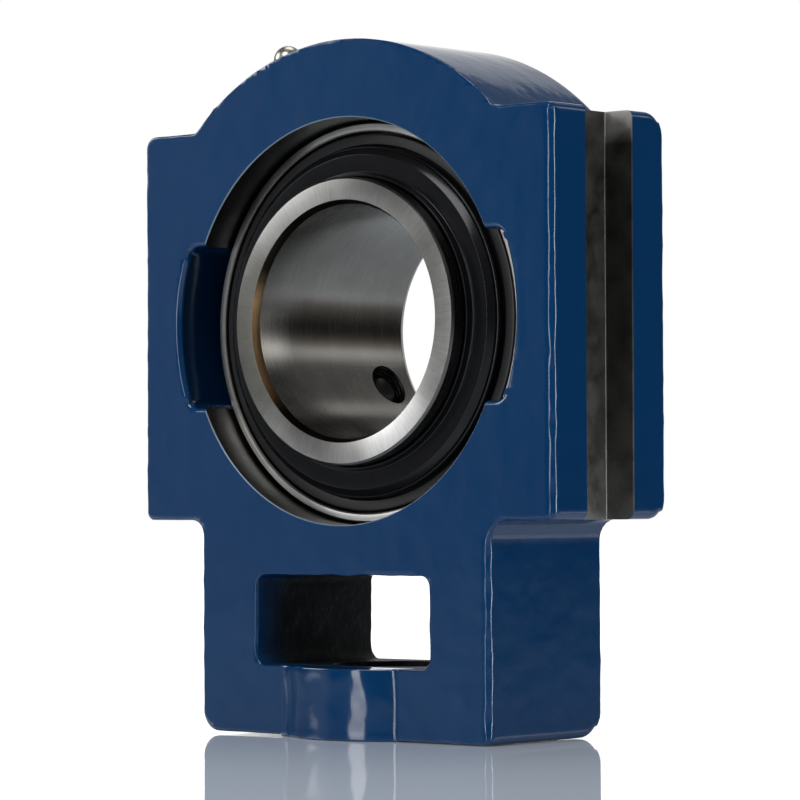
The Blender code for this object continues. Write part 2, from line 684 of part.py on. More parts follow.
def nipple_duct_profile():
    # The duct, the chamber of the check ball and the mouth, as one opening right through.
    top = NIPPLE_TOP + CUT_OVERRUN
    bottom = -NIPPLE_SHANK_LENGTH - CUT_OVERRUN
    return [
        (0.0, top),
        (NIPPLE_MOUTH_RADIUS, top),
        (NIPPLE_MOUTH_RADIUS, CHAMBER_TOP),
        (NIPPLE_CHAMBER_RADIUS, CHAMBER_TOP - NIPPLE_CHAMBER_RADIUS + NIPPLE_MOUTH_RADIUS),
        (NIPPLE_CHAMBER_RADIUS, CHAMBER_FLOOR),
        (NIPPLE_DUCT_RADIUS, CHAMBER_FLOOR),
        (NIPPLE_DUCT_RADIUS, bottom),
        (0.0, bottom),
    ]


def add_nipple(parts, cutters, frame, material):
    place = outward(NIPPLE_ANGLE, NIPPLE_SEAT + CLEARANCE)
    mesh = turned_mesh("grease_nipple", nipple_profile(), SMALL_STEPS, closed=False)
    nipple = add_object("grease_nipple", mesh, parts, frame, place)
    nipple.data.materials.append(material)
    hexagon = rod_mesh("nipple_hexagon", NIPPLE_HEX_RADIUS, 0.0, NIPPLE_HEX_HEIGHT, 6)
    boolean(nipple, hide_cutter(add_object("nipple_hexagon", hexagon, cutters, frame, place)), "UNION")
    duct = turned_mesh("nipple_duct", nipple_duct_profile(), SMALL_STEPS, closed=False)
    boolean(nipple, hide_cutter(add_object("nipple_duct", duct, cutters, frame, place)))
    return nipple


def add_check_valve(parts, frame, steel):
    seat = NIPPLE_SEAT + CLEARANCE
    ball = sphere_mesh("check_ball", CHECK_BALL_RADIUS, [(0.0, 0.0, 0.0)])
    ball.materials.append(steel)
    add_object("nipple_ball", ball, parts, frame, outward(NIPPLE_ANGLE, seat + CHECK_BALL_HEIGHT))

    curve = bpy.data.curves.new("nipple_spring", "CURVE")
    curve.dimensions = "3D"
    curve.bevel_depth = CHECK_SPRING_WIRE
    curve.bevel_resolution = 1
    curve.use_fill_caps = True
    spline = curve.splines.new("POLY")
    count = CHECK_SPRING_TURNS * SPRING_STEPS
    spline.points.add(count)
    coil = NIPPLE_CHAMBER_RADIUS - CLEARANCE - CHECK_SPRING_WIRE
    rise = CHECK_SPRING_LENGTH - 2 * CHECK_SPRING_WIRE - CLEARANCE
    foot = CHAMBER_FLOOR + CHECK_SPRING_WIRE + CLEARANCE / 2
    for i, point in enumerate(spline.points):
        angle = math.tau * i / SPRING_STEPS
        point.co = (coil * math.cos(angle), coil * math.sin(angle), foot + rise * i / count, 1.0)
    obj = bpy.data.objects.new("nipple_spring", curve)
    bpy.context.scene.collection.objects.link(obj)
    coil_mesh = smooth(baked_mesh(obj), 60)
    coil_mesh.materials.append(steel)
    add_object("nipple_spring", coil_mesh, parts, frame, outward(NIPPLE_ANGLE, seat))


def main():
    clear_scene()
    parts = new_collection("take_up_bearing_unit")
    cutters = new_collection("cutters")
    materials = {name: new_material(name) for name in COLORS}
    frame = add_frame()
    add_housing(parts, cutters, frame, materials["blue_enamel"])
    add_outer_ring(parts, cutters, frame, materials["ground_steel"])
    add_inner_ring(parts, cutters, frame, materials["ground_steel"])
    add_balls(parts, frame, materials["polished_steel"])
    add_cage(parts, cutters, frame, materials["cage_polyamide"])
    add_closures(parts, frame, materials["seal_rubber"])
    add_set_screws(parts, cutters, frame, materials["blackened_steel"])
    add_nipple(parts, cutters, frame, materials["zinc_plate"])
    add_check_valve(parts, frame, materials["polished_steel"])


main()
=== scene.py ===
# Studio picture of a take-up bearing unit. The imported frame gives the pieces and their places,
# and each casting, ring and small part is modelled here with its finish, some with painted highlights and painted
# shade.

import math

import bmesh
import bpy
from mathutils import Matrix, Vector, noise


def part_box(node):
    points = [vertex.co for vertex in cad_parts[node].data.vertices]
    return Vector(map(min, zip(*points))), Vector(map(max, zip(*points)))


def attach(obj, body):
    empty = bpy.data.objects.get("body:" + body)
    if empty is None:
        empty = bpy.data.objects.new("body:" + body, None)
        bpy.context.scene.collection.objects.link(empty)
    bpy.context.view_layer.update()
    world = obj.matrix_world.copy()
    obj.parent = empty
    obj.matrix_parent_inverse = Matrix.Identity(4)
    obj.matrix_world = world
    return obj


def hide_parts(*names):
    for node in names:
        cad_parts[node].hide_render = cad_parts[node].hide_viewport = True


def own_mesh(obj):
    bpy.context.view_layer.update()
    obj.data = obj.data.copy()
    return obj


print("stage: frame")
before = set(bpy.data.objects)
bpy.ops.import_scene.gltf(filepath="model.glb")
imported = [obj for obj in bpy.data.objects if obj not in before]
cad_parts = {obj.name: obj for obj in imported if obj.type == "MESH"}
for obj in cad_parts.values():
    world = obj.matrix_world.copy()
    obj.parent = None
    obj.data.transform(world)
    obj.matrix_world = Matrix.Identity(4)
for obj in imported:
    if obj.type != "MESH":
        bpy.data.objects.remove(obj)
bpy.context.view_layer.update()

housingLow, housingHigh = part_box("housing")
ringLow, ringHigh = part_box("outer_ring")
innerLow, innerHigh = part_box("inner_ring")
shaftY = (housingLow.y + housingHigh.y) / 2
shaftZ = (ringLow.z + ringHigh.z) / 2
tailLength = shaftZ - housingLow.z

# In the bearing's own frame x is to the right, y up and z along the shaft to the front.
fromBearing = Matrix.Translation((0.0, shaftY, shaftZ)) @ Matrix.Rotation(math.pi / 2, 4, "X")
mm = 0.001
weld = 0.002 * mm
smoothAngle = math.radians(32)


def inMetres(sizes):
    # turns millimetres into metres, in a number or a dictionary or tuple of them
    if isinstance(sizes, dict):
        return {name: inMetres(size) for name, size in sizes.items()}
    if isinstance(sizes, tuple):
        return tuple(inMetres(size) for size in sizes)
    return sizes * mm


# Meshing helpers

def arc(centre, radius, start, end, steps):
    # points on a circle, angles in degrees, both ends included
    points = []
    for i in range(steps + 1):
        angle = math.radians(start + (end - start) * i / steps)
        points.append((centre[0] + radius * math.cos(angle), centre[1] + radius * math.sin(angle)))
    return points


def roundCorners(corners, steps=5, closed=True):
    # (x, y, radius) corners, each rounded by its own radius; 0 stays sharp
    outline = []
    for i, (x, y, radius) in enumerate(corners):
        atEnd = not closed and i in (0, len(corners) - 1)
        if radius == 0 or atEnd:
            outline.append((x, y))
            continue
        corner = Vector((x, y))
        back = (Vector(corners[i - 1][:2]) - corner).normalized()
        ahead = (Vector(corners[(i + 1) % len(corners)][:2]) - corner).normalized()
        half = back.angle(ahead) / 2
        centre = corner + (back + ahead).normalized() * (radius / math.sin(half))
        first = corner + back * (radius / math.tan(half)) - centre
        last = corner + ahead * (radius / math.tan(half)) - centre
        for step in range(steps + 1):
            outline.append(tuple(centre + first.lerp(last, step / steps).normalized() * radius))
    return outline


def sharp(points):
    return [(x, y, 0) for x, y in points]


def finer(points, size, closed=True):
    # more points along the long stretches of an outline
    follow = points[1:] + points[:1] if closed else points[1:]
    result = []
    for (x, y), (nextX, nextY) in zip(points, follow):
        count = max(1, math.ceil(math.hypot(nextX - x, nextY - y) / size))
        result += [(x + (nextX - x) * k / count, y + (nextY - y) * k / count) for k in range(count)]
    return result if closed else result + [points[-1]]


def smoothStep(value, low, high):
    t = min(1.0, max(0.0, (value - low) / (high - low)))
    return t * t * (3 - 2 * t)


def outlineNormals(outline):
    normals = []
    for i, (x, y) in enumerate(outline):
        back = Vector((x, y)) - Vector(outline[i - 1])
        ahead = Vector(outline[(i + 1) % len(outline)]) - Vector((x, y))
        along = (back.normalized() + ahead.normalized()).normalized()
        normals.append(Vector((along.y, -along.x)))
    return normals


def lathe(profile, steps, closed=True):
    # spins a (radius, height) profile about z
    bm = bmesh.new()
    verts = [bm.verts.new((radius, 0, height)) for radius, height in profile]
    pairs = list(zip(verts, verts[1:]))
    if closed:
        pairs.append((verts[-1], verts[0]))
    edges = [bm.edges.new(pair) for pair in pairs]
    bmesh.ops.spin(bm, geom=verts + edges, cent=(0, 0, 0), axis=(0, 0, 1), angle=math.tau,
                   steps=steps, use_merge=True)
    bmesh.ops.remove_doubles(bm, verts=bm.verts, dist=weld)
    bmesh.ops.recalc_face_normals(bm, faces=bm.faces)
    return bm


def meshObject(name, bm, materials):
    mesh = bpy.data.meshes.new(name)
    bm.to_mesh(mesh)
    bm.free()
    for material in materials:
        mesh.materials.append(material)
    mesh.shade_smooth()
    mesh.set_sharp_from_angle(angle=smoothAngle)
    obj = bpy.data.objects.new(name, mesh)
    bpy.context.scene.collection.objects.link(obj)
    return obj


def carve(obj, bm, materials, operation="DIFFERENCE"):
    # cuts a bmesh out of the object, or joins it on, and keeps the cutter's materials on its faces
    tool = meshObject("tool", bm, materials)
    modifier = obj.modifiers.new("carve", "BOOLEAN")
    modifier.operation = operation
    modifier.solver = "MANIFOLD"
    modifier.material_mode = "TRANSFER"
    modifier.object = tool
    bpy.context.view_layer.update()
    carved = bpy.data.meshes.new_from_object(obj.evaluated_get(bpy.context.evaluated_depsgraph_get()))
    obj.modifiers.remove(modifier)
    old = obj.data
    obj.data = carved
    bpy.data.meshes.remove(old)
    toolMesh = tool.data
    bpy.data.objects.remove(tool)
    bpy.data.meshes.remove(toolMesh)
    obj.data.set_sharp_from_angle(angle=smoothAngle)


def place(obj, body, nodes, slotName):
    # puts the piece where the frame has its node, and hands it to its body
    obj.data.transform(fromBearing)
    obj.data.update()
    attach(obj, body)
    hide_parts(*nodes)


def outwards(angle, distance=0.0, along=0.0):
    # z points away from the shaft at this angle, from this distance
    turn = Matrix.Rotation(math.radians(angle), 4, "Z")
    return turn @ Matrix.Translation((distance, 0, along)) @ Matrix.Rotation(math.pi / 2, 4, "Y")


# Sizes of the casting

casting = inMetres({
    "plate": 38.9, "guideLength": 86, "taller": 0.5, "headRadius": 61, "headFillet": 2.5,
    "tailHalfWidth": 40.95,
    "right": {"foot": 2.0, "gap": 0.0, "fillet": 4.5, "low": 2.0, "top": 1.5},
    "left": {"foot": 4.4, "gap": 0.45, "fillet": 3.5, "low": 1.8, "top": 2.8},
    "edge": 0.6, "crispEdge": 0.18, "softEdge": 1.4, "rearEdge": 0.8, "rearHeadEdge": 0.35,
    "grid": 1.3, "wave": 0.05, "edgeWave": 0.27, "inwards": 0.07,
    "slotHalfWidth": 24.6, "slotTop": 54.8, "slotFloor": 74.5, "slotCorner": 2.5,
    "slotRound": 0.5, "slotLeftRound": 0.95, "slotLip": 4, "slotLipDrop": 0.24,
    "bossRadius": 24.5, "bossRound": 0.4, "bossFilletLeft": 8, "bossFilletRight": 2.6,
    "screwHole": 14.5,
    "grooveBottom": 51, "grooveWidth": 16, "grooveBreak": 0.25,
    "seatRadius": 45.3, "mouthRadius": 44.005, "mouthChamfer": 0.30,
    "loadingRadius": 48, "loadingHalfHeight": 18, "loadingCorner": 3, "loadingRound": 1.3,
})
halfPlate = casting["plate"] / 2
halfGuide = casting["guideLength"] / 2
halfWidth = housingHigh.x


# Materials

def newMaterial(name):
    material = bpy.data.materials.new(name)
    material.use_nodes = True
    return material, material.node_tree, material.node_tree.nodes["Principled BSDF"]


def addNode(tree, kind, **inputs):
    node = tree.nodes.new(kind)
    for key, value in inputs.items():
        node.inputs[key].default_value = value
    return node


def objectCoordinates(tree, scale=(1, 1, 1)):
    coordinates = tree.nodes.new("ShaderNodeTexCoord")
    mapping = addNode(tree, "ShaderNodeMapping", Scale=scale)
    tree.links.new(coordinates.outputs["Object"], mapping.inputs["Vector"])
    return mapping.outputs["Vector"]


def noiseTexture(tree, vector, scale, detail=3.0, roughness=0.5):
    texture = addNode(tree, "ShaderNodeTexNoise", Scale=scale, Detail=detail, Roughness=roughness)
    tree.links.new(vector, texture.inputs["Vector"])
    return texture.outputs["Fac"]


def ramp(tree, value, stops):
    # stops are (position, grey or colour)
    node = tree.nodes.new("ShaderNodeValToRGB")
    tree.links.new(value, node.inputs["Fac"])
    elements = node.color_ramp.elements
    while len(elements) < len(stops):
        elements.new(0.5)
    for element, (position, colour) in zip(elements, stops):
        element.position = position
        element.color = (*colour, 1) if isinstance(colour, tuple) else (colour, colour, colour, 1)
    return node.outputs["Color"]


def maths(tree, operation, first, second=None, third=None):
    node = tree.nodes.new("ShaderNodeMath")
    node.operation = operation
    for socket, value in zip(node.inputs, (first, second, third)):
        if isinstance(value, (int, float)):
            socket.default_value = value
        elif value is not None:
            tree.links.new(value, socket)
    return node.outputs["Value"]


def times(tree, first, second):
    return maths(tree, "MULTIPLY", first, second)


def mixColour(tree, factor, first, second, blend="MIX"):
    node = tree.nodes.new("ShaderNodeMix")
    node.data_type = "RGBA"
    node.blend_type = blend
    for socket, value in zip((node.inputs[0], node.inputs[6], node.inputs[7]), (factor, first, second)):
        if isinstance(value, (int, float)):
            socket.default_value = value
        elif isinstance(value, tuple):
            socket.default_value = (*value, 1)
        else:
            tree.links.new(value, socket)
    return node.outputs[2]


def bump(tree, height, distance, under=None):
    node = addNode(tree, "ShaderNodeBump", Strength=1.0, Distance=distance)
    tree.links.new(height, node.inputs["Height"])
    if under is not None:
        tree.links.new(under, node.inputs["Normal"])
    return node.outputs["Normal"]


def shaftFrame(tree):
    # where a point lies about the shaft: its direction as a cosine and a sine, its distance, its place along
    coordinates = tree.nodes.new("ShaderNodeTexCoord")
    centre = addNode(tree, "ShaderNodeMapping", Location=(0, -shaftY, -shaftZ))
    tree.links.new(coordinates.outputs["Object"], centre.inputs["Vector"])
    split = tree.nodes.new("ShaderNodeSeparateXYZ")
    tree.links.new(centre.outputs["Vector"], split.inputs["Vector"])
    x, y, z = (split.outputs[axis] for axis in "XYZ")
    radius = maths(tree, "SQRT", maths(tree, "ADD", times(tree, x, x), times(tree, z, z)))
    return {"cosine": maths(tree, "DIVIDE", x, radius), "sine": maths(tree, "DIVIDE", z, radius),
            "radius": radius, "along": y, "above": z}


def ringPattern(tree, shaft, around, along):
    # a place for noise that is stretched round the shaft and along it, with no seam
    joined = tree.nodes.new("ShaderNodeCombineXYZ")
    tree.links.new(times(tree, shaft["cosine"], around), joined.inputs["X"])
    tree.links.new(times(tree, shaft["sine"], around), joined.inputs["Y"])
    tree.links.new(times(tree, maths(tree, "ADD", shaft["radius"], shaft["along"]), along), joined.inputs["Z"])
    return joined.outputs["Vector"]


def paintedLightZoneMask(tree, shaft, angle, inner, outer, depths):
    # where a painted highlight or painted shade lies: 1 within the inner angle from this direction, 0 past the outer
    # one; depths fade it along the shaft
    a = math.radians(angle)
    towards = maths(tree, "MULTIPLY_ADD", shaft["cosine"], math.cos(a), times(tree, shaft["sine"], math.sin(a)))
    far, near = math.cos(math.radians(outer)), math.cos(math.radians(inner))
    fade = [(far, 0.0), (far + 0.3 * (near - far), 0.14), (far + 0.7 * (near - far), 0.8), (near, 1.0)]
    mask = ramp(tree, towards, fade)
    if depths is None:
        return mask
    start, end = depths
    fade = maths(tree, "MULTIPLY_ADD", shaft["along"], 1 / (end - start), -start / (end - start))
    return times(tree, mask, ramp(tree, fade, [(0.0, 0.0), (1.0, 1.0)]))


# marks on the front face: place beside and above the shaft in mm, half length, half width, slant, strength
faceMarks = [
    (30.8, 51.3, 0.8, 0.28, -45, 1.0), (34.8, 48.7, 0.6, 0.30, -50, 0.9), (38.3, 45.9, 0.55, 0.26, -20, 1.0),
    (41.0, 43.6, 0.45, 0.32, 0, 1.0), (44.9, 21.3, 0.42, 0.32, 70, 0.8), (48.8, 17.6, 0.30, 0.18, 0, 0.5),
    (24.4, 38.1, 0.50, 0.16, 8, 0.7), (55.1, 28.5, 1.35, 0.16, -62, 0.8), (54.0, 4.5, 0.36, 0.28, 60, 0.8),
    (55.0, 3.0, 0.40, 0.26, 75, 0.8), (44.4, 28.6, 0.30, 0.24, 30, 0.35), (-15.2, -46.6, 0.42, 0.18, 80, 0.5),
    (53.4, -15.1, 1.1, 0.7, 10, -0.7), (12.4, -79.7, 1.4, 0.9, 20, -0.7), (-31.6, 39.0, 0.55, 0.45, 20, -0.5),
]

enamel = {"colour": (0.0022, 0.0395, 0.124), "darker": (0.0014, 0.0330, 0.108), "roughness": 0.11, "cloudSize": 45,
          "waveSize": 170, "waveDepth": 0.10 * mm, "peelSize": 620, "peelDepth": 0.012 * mm,
          "speck": (0.22, 0.33, 0.48), "speckSize": 300.0, "speckShare": 0.025, "speckDepth": 0.10 * mm,
          "ragged": 0.3 * mm, "raggedSize": 1800.0, "smudge": (0.010, 0.018, 0.034),
          "streakRound": 5.0, "streakAlong": 1100, "streakDepth": 0.010 * mm}


def markMask(tree, vector, marks):
    # 1 inside the small ellipses on the front face
    mask = None
    for x, y, length, width, slant, strength in marks:
        own = addNode(tree, "ShaderNodeMapping", Location=(x * mm, housingLow.y, shaftZ + y * mm),
                      Rotation=(0, math.radians(-slant), 0), Scale=(length * mm, 1.5 * mm, width * mm))
        own.vector_type = "TEXTURE"
        tree.links.new(vector, own.inputs["Vector"])
        size = tree.nodes.new("ShaderNodeVectorMath")
        size.operation = "LENGTH"
        tree.links.new(own.outputs["Vector"], size.inputs[0])
        inside = times(tree, maths(tree, "LESS_THAN", size.outputs["Value"], 1.0), abs(strength))
        mask = inside if mask is None else maths(tree, "MAXIMUM", mask, inside)
    return mask


def blueEnamel(name, paintedShadeFactor):
    material, tree, shader = newMaterial(name)
    place3 = objectCoordinates(tree)
    clouds = noiseTexture(tree, place3, enamel["cloudSize"], 3)
    # a factor below 1 darkens the enamel as painted shade
    colour = mixColour(tree, clouds, *(tuple(part * paintedShadeFactor for part in enamel[tone]) for tone in ("darker", "colour")))
    # small dust specks and pinholes
    jitter = addNode(tree, "ShaderNodeTexNoise", Scale=enamel["raggedSize"], Detail=1.0)
    tree.links.new(place3, jitter.inputs["Vector"])
    loose = mixColour(tree, enamel["ragged"], place3, jitter.outputs["Color"], "ADD")
    specks = addNode(tree, "ShaderNodeTexVoronoi", Scale=enamel["speckSize"])
    tree.links.new(loose, specks.inputs["Vector"])
    spread = tree.nodes.new("ShaderNodeSeparateColor")
    tree.links.new(specks.outputs["Color"], spread.inputs["Color"])
    chosen = maths(tree, "GREATER_THAN", spread.outputs["Red"], 1 - enamel["speckShare"])
    near = maths(tree, "LESS_THAN", specks.outputs["Distance"], times(tree, spread.outputs["Green"], 0.10))
    dot = times(tree, chosen, near)
    chips = markMask(tree, loose, [mark for mark in faceMarks if mark[5] > 0])
    smudges = markMask(tree, loose, [mark for mark in faceMarks if mark[5] < 0])
    colour = mixColour(tree, maths(tree, "MAXIMUM", times(tree, dot, 0.45), chips), colour, enamel["speck"])
    colour = mixColour(tree, smudges, colour, enamel["smudge"])
    tree.links.new(colour, shader.inputs["Base Color"])
    shader.inputs["Roughness"].default_value = enamel["roughness"]
    shader.inputs["IOR"].default_value = 1.5
    waves = noiseTexture(tree, place3, enamel["waveSize"], 2, 0.4)
    peel = noiseTexture(tree, place3, enamel["peelSize"], 2, 0.5)
    normal = bump(tree, waves, enamel["waveDepth"])
    normal = bump(tree, peel, enamel["peelDepth"], normal)
    normal = bump(tree, dot, enamel["speckDepth"], normal)
    # fine streaks along the top of the head
    shaft = shaftFrame(tree)
    streaks = noiseTexture(tree, ringPattern(tree, shaft, enamel["streakRound"], enamel["streakAlong"]), 1.0, 3, 0.55)
    onTop = times(tree, maths(tree, "GREATER_THAN", shaft["radius"], casting["headRadius"] - 0.9 * mm),
                  maths(tree, "GREATER_THAN", shaft["above"], halfGuide + 1 * mm))
    normal = bump(tree, times(tree, streaks, onTop), enamel["streakDepth"], normal)
    tree.links.new(normal, shader.inputs["Normal"])
    return material


# the near black of the slot's inside is partly the bare casting and partly painted shade deep in the slot
roughCastLook = {"colour": (0.0030, 0.0048, 0.0070), "lighter": (0.026, 0.028, 0.025),
                 "roughness": 0.50, "specular": 0.16, "grainSize": 900, "grainDepth": 0.22 * mm,
                 "patchSize": 160, "patchDepth": 0.7 * mm,
                 "bluePaintNearFront": (0.0022, 0.034, 0.110), "bluePaintReach": 10 * mm, "fadeIntoPaintedShade": 8 * mm}


def roughCast():
    material, tree, shader = newMaterial("rough cast slot")
    place3 = objectCoordinates(tree)
    grains = noiseTexture(tree, place3, roughCastLook["grainSize"], 5, 0.65)
    patches = noiseTexture(tree, place3, roughCastLook["patchSize"], 3, 0.5)
    speckle = ramp(tree, times(tree, grains, patches), [(0.26, 0.0), (0.42, 1.0)])
    colour = mixColour(tree, speckle, roughCastLook["colour"], roughCastLook["lighter"])
    # the blue paint reaches a few millimetres in from the front, and the fall from blue to near black deeper in is
    # painted shade
    reach, fade = roughCastLook["bluePaintReach"], roughCastLook["fadeIntoPaintedShade"]
    depth = maths(tree, "ADD", shaftFrame(tree)["along"], times(tree, patches, -fade))
    near = maths(tree, "MULTIPLY_ADD", depth, -1 / fade, (reach - halfPlate - fade / 2) / fade)
    colour = mixColour(tree, ramp(tree, near, [(0.0, 0.0), (1.0, 1.0)]), colour, roughCastLook["bluePaintNearFront"])
    tree.links.new(colour, shader.inputs["Base Color"])
    shader.inputs["Roughness"].default_value = roughCastLook["roughness"]
    shader.inputs["Specular IOR Level"].default_value = roughCastLook["specular"]
    normal = bump(tree, patches, roughCastLook["patchDepth"])
    normal = bump(tree, grains, roughCastLook["grainDepth"], normal)
    tree.links.new(normal, shader.inputs["Normal"])
    return material


# the groove's tones by height and by face are painted light and shade
grooveLook = {"colour": (0.17, 0.166, 0.158), "stain": (0.115, 0.111, 0.104), "roughness": (0.32, 0.46),
              "streakSize": 1500, "streakDepth": 0.012 * mm, "mottleSize": 190, "mottleDepth": 0.02 * mm,
              "paintedShadeUpwards": [(0.0, 1.0), (0.25, 0.62), (0.7, 0.44), (0.86, 0.36), (1.0, 0.36)], "floor": 2.4,
              "wall": 0.70, "paintedReflectionAtTopOfWall": 2.6}


def milledIron():
    material, tree, shader = newMaterial("milled iron")
    place3 = objectCoordinates(tree)
    streaks = noiseTexture(tree, objectCoordinates(tree, scale=(1, 1, 0.06)), grooveLook["streakSize"], 3)
    mottles = ramp(tree, noiseTexture(tree, place3, grooveLook["mottleSize"], 5, 0.6), [(0.30, 0.0), (0.62, 1.0)])
    colour = mixColour(tree, mottles, grooveLook["stain"], grooveLook["colour"])
    split = tree.nodes.new("ShaderNodeSeparateXYZ")
    tree.links.new(place3, split.inputs["Vector"])
    height = maths(tree, "MULTIPLY_ADD", split.outputs["Z"], 0.5 / halfGuide, 0.5 - 0.5 * shaftZ / halfGuide)
    # painted light: lighter low down and darker towards the top, darker on the wall than on the floor, and a painted
    # reflection at the top of the wall
    tone = times(tree, ramp(tree, height, grooveLook["paintedShadeUpwards"]), grooveLook["floor"])
    onWall = maths(tree, "GREATER_THAN", split.outputs["Y"], shaftY + casting["grooveWidth"] / 2 - 0.15 * mm)
    paintedReflectionAtTop = times(tree, ramp(tree, height, [(0.925, 0.0), (0.965, 1.0)]), grooveLook["paintedReflectionAtTopOfWall"])
    wallToneWithPaintedShade = maths(tree, "ADD", times(tree, tone, grooveLook["wall"]), paintedReflectionAtTop)
    tone = maths(tree, "ADD", times(tree, onWall, maths(tree, "SUBTRACT", wallToneWithPaintedShade, tone)), tone)
    tree.links.new(mixColour(tree, 1.0, colour, tone, "MULTIPLY"), shader.inputs["Base Color"])
    low, high = grooveLook["roughness"]
    tree.links.new(maths(tree, "MULTIPLY_ADD", mottles, high - low, low), shader.inputs["Roughness"])
    shader.inputs["Metallic"].default_value = 1.0
    normal = bump(tree, streaks, grooveLook["streakDepth"])
    normal = bump(tree, mottles, grooveLook["mottleDepth"], normal)
    tree.links.new(normal, shader.inputs["Normal"])
    return material


def turnedMetal(name, colour, stain, roughness, around, along, depth, anisotropy=0.0, turn=0.0, paintedLightZones=()):
    # metal with grinding or turning marks that follow the ring; each zone is painted light at one angle round the
    # shaft, lighter for a painted highlight and darker for painted shade: (angle, inner, outer, colour, depths)
    material, tree, shader = newMaterial(name)
    shaft = shaftFrame(tree)
    marks = noiseTexture(tree, ringPattern(tree, shaft, around, along), 1.0, 4, 0.6)
    clouds = noiseTexture(tree, objectCoordinates(tree), 150, 3)
    tone = times(tree, marks, clouds)
    finish = mixColour(tree, ramp(tree, tone, [(0.12, 0.0), (0.38, 1.0)]), stain, colour)
    for angle, inner, outer, paintedLightTint, depths in paintedLightZones:
        own = mixColour(tree, 1.0, ramp(tree, tone, [(0.12, 0.78), (0.38, 1.0)]), paintedLightTint, "MULTIPLY")
        finish = mixColour(tree, paintedLightZoneMask(tree, shaft, angle, inner, outer, depths), finish, own)
    tree.links.new(finish, shader.inputs["Base Color"])
    low, high = roughness
    tree.links.new(maths(tree, "MULTIPLY_ADD", marks, high - low, low), shader.inputs["Roughness"])
    shader.inputs["Metallic"].default_value = 1.0
    if anisotropy:
        shader.inputs["Anisotropic"].default_value = anisotropy
        shader.inputs["Anisotropic Rotation"].default_value = turn
        tangent = tree.nodes.new("ShaderNodeTangent")
        tangent.direction_type = "RADIAL"
        tangent.axis = "Y"
        tree.links.new(tangent.outputs["Tangent"], shader.inputs["Tangent"])
    tree.links.new(bump(tree, marks, depth), shader.inputs["Normal"])
    return material


def plain(name, colour, roughness, metallic=0.0, grain=0.0, grainSize=900, ior=1.5):
    material, tree, shader = newMaterial(name)
    fine = noiseTexture(tree, objectCoordinates(tree), grainSize, 3)
    darker = tuple(0.75 * part for part in colour)
    tree.links.new(mixColour(tree, fine, darker, colour), shader.inputs["Base Color"])
    tree.links.new(maths(tree, "MULTIPLY_ADD", fine, 0.1, roughness), shader.inputs["Roughness"])
    shader.inputs["Metallic"].default_value = metallic
    shader.inputs["IOR"].default_value = ior
    if grain:
        tree.links.new(bump(tree, fine, grain), shader.inputs["Normal"])
    return material


print("stage: materials")
paint = blueEnamel("blue enamel", 1.0)
# a darker copy of the enamel: painted shade for the insides of the loading slots
paintedShadeEnamel = blueEnamel("blue enamel darkened as painted shade", 0.42)
bareEdge = plain("bare edge of the seat", (0.22, 0.29, 0.35), 0.40, 0.3, 0.00001, 1400)
slotIron = roughCast()
grooveIron = milledIron()
# name, colour, stain, roughness, marks around and along, depth of the marks, and then what only some have:
# anisotropy, its turn, and zones of painted highlight and painted shade
# the turned seat has a painted shade at the lower left
seatIron = turnedMetal(
    "turned seat", (0.105, 0.10, 0.094), (0.055, 0.052, 0.048), (0.30, 0.44), 1.5, 3500, 0.00001,
    paintedLightZones=[(248, 22, 42, (0.040, 0.0385, 0.036), None)])
# the ring face has painted highlight lobes at the upper left and lower right, and painted shade at the left
faceSteel = turnedMetal(
    "ground ring face", (0.315, 0.312, 0.302), (0.235, 0.232, 0.224), (0.24, 0.38), 70.0, 210, 0.000012, 0.9, 0.25,
    [(121, 6, 26, (0.33, 0.327, 0.315), None), (302, 7, 27, (0.60, 0.595, 0.58), None),
     (184, 24, 52, (0.205, 0.205, 0.188), None)])
# the outer ring face has a painted highlight at the lower left and painted shade at the upper left
outerFaceSteel = turnedMetal(
    "ground outer ring face", (0.66, 0.655, 0.64), (0.56, 0.555, 0.54), (0.24, 0.38), 3.0, 1800, 0.000006,
    paintedLightZones=[(131, 10, 24, (0.20, 0.198, 0.192), None), (248, 34, 50, (0.95, 0.945, 0.925), None)])
# the bore has a painted glow at the front on the left, painted shade on the left further in and at the bottom, and a
# lighter painted patch at the lower left
boreSteel = turnedMetal(
    "honed bore", (0.235, 0.229, 0.216), (0.20, 0.195, 0.183), (0.25, 0.29), 1.6, 1400, 0.000001,
    paintedLightZones=[(178, 7, 15, (0.125, 0.108, 0.092), (-14 * mm, -3 * mm)),
           (188, 7, 19, (0.70, 0.665, 0.61), (-7 * mm, -16 * mm)),
           (217, 10, 20, (0.42, 0.40, 0.37), (-14 * mm, -2 * mm)), (265, 26, 38, (0.105, 0.10, 0.094), None)])
# the land is darker at the upper right as painted shade, where a highlight would show
landSteel = turnedMetal(
    "polished land", (0.17, 0.167, 0.162), (0.11, 0.107, 0.103), (0.22, 0.32), 2.0, 2500, 0.000003,
    paintedLightZones=[(52, 16, 30, (0.05, 0.049, 0.048), None)])
# a dark brown chamfer with a painted golden glow at the left, near the front
chamferSteelWithPaintedGlow = turnedMetal(
    "bore chamfer with a painted glow", (0.028, 0.022, 0.016), (0.014, 0.011, 0.009), (0.26, 0.40), 3.0, 900, 0.000005,
    paintedLightZones=[(190, 6, 38, (0.52, 0.32, 0.16), (-8 * mm, -15 * mm))])
ballSteel = plain("polished balls", (0.70, 0.70, 0.69), 0.06, 1.0)
rubber = plain("black rubber", (0.014, 0.014, 0.015), 0.34, 0.0, 0.00001)
flingerBlack = plain("blackened sheet", (0.016, 0.0165, 0.0185), 0.13, 0.55, 0.0000012, 300, 1.38)
screwBlack = plain("blackened screw", (0.014, 0.0135, 0.013), 0.30, 0.4, 0.000006)
zinc = plain("zinc plate", (0.44, 0.44, 0.38), 0.26, 1.0, 0.000004)
polyamide = plain("cage polyamide", (0.50, 0.45, 0.33), 0.40, 0.0, 0.00002, 500)


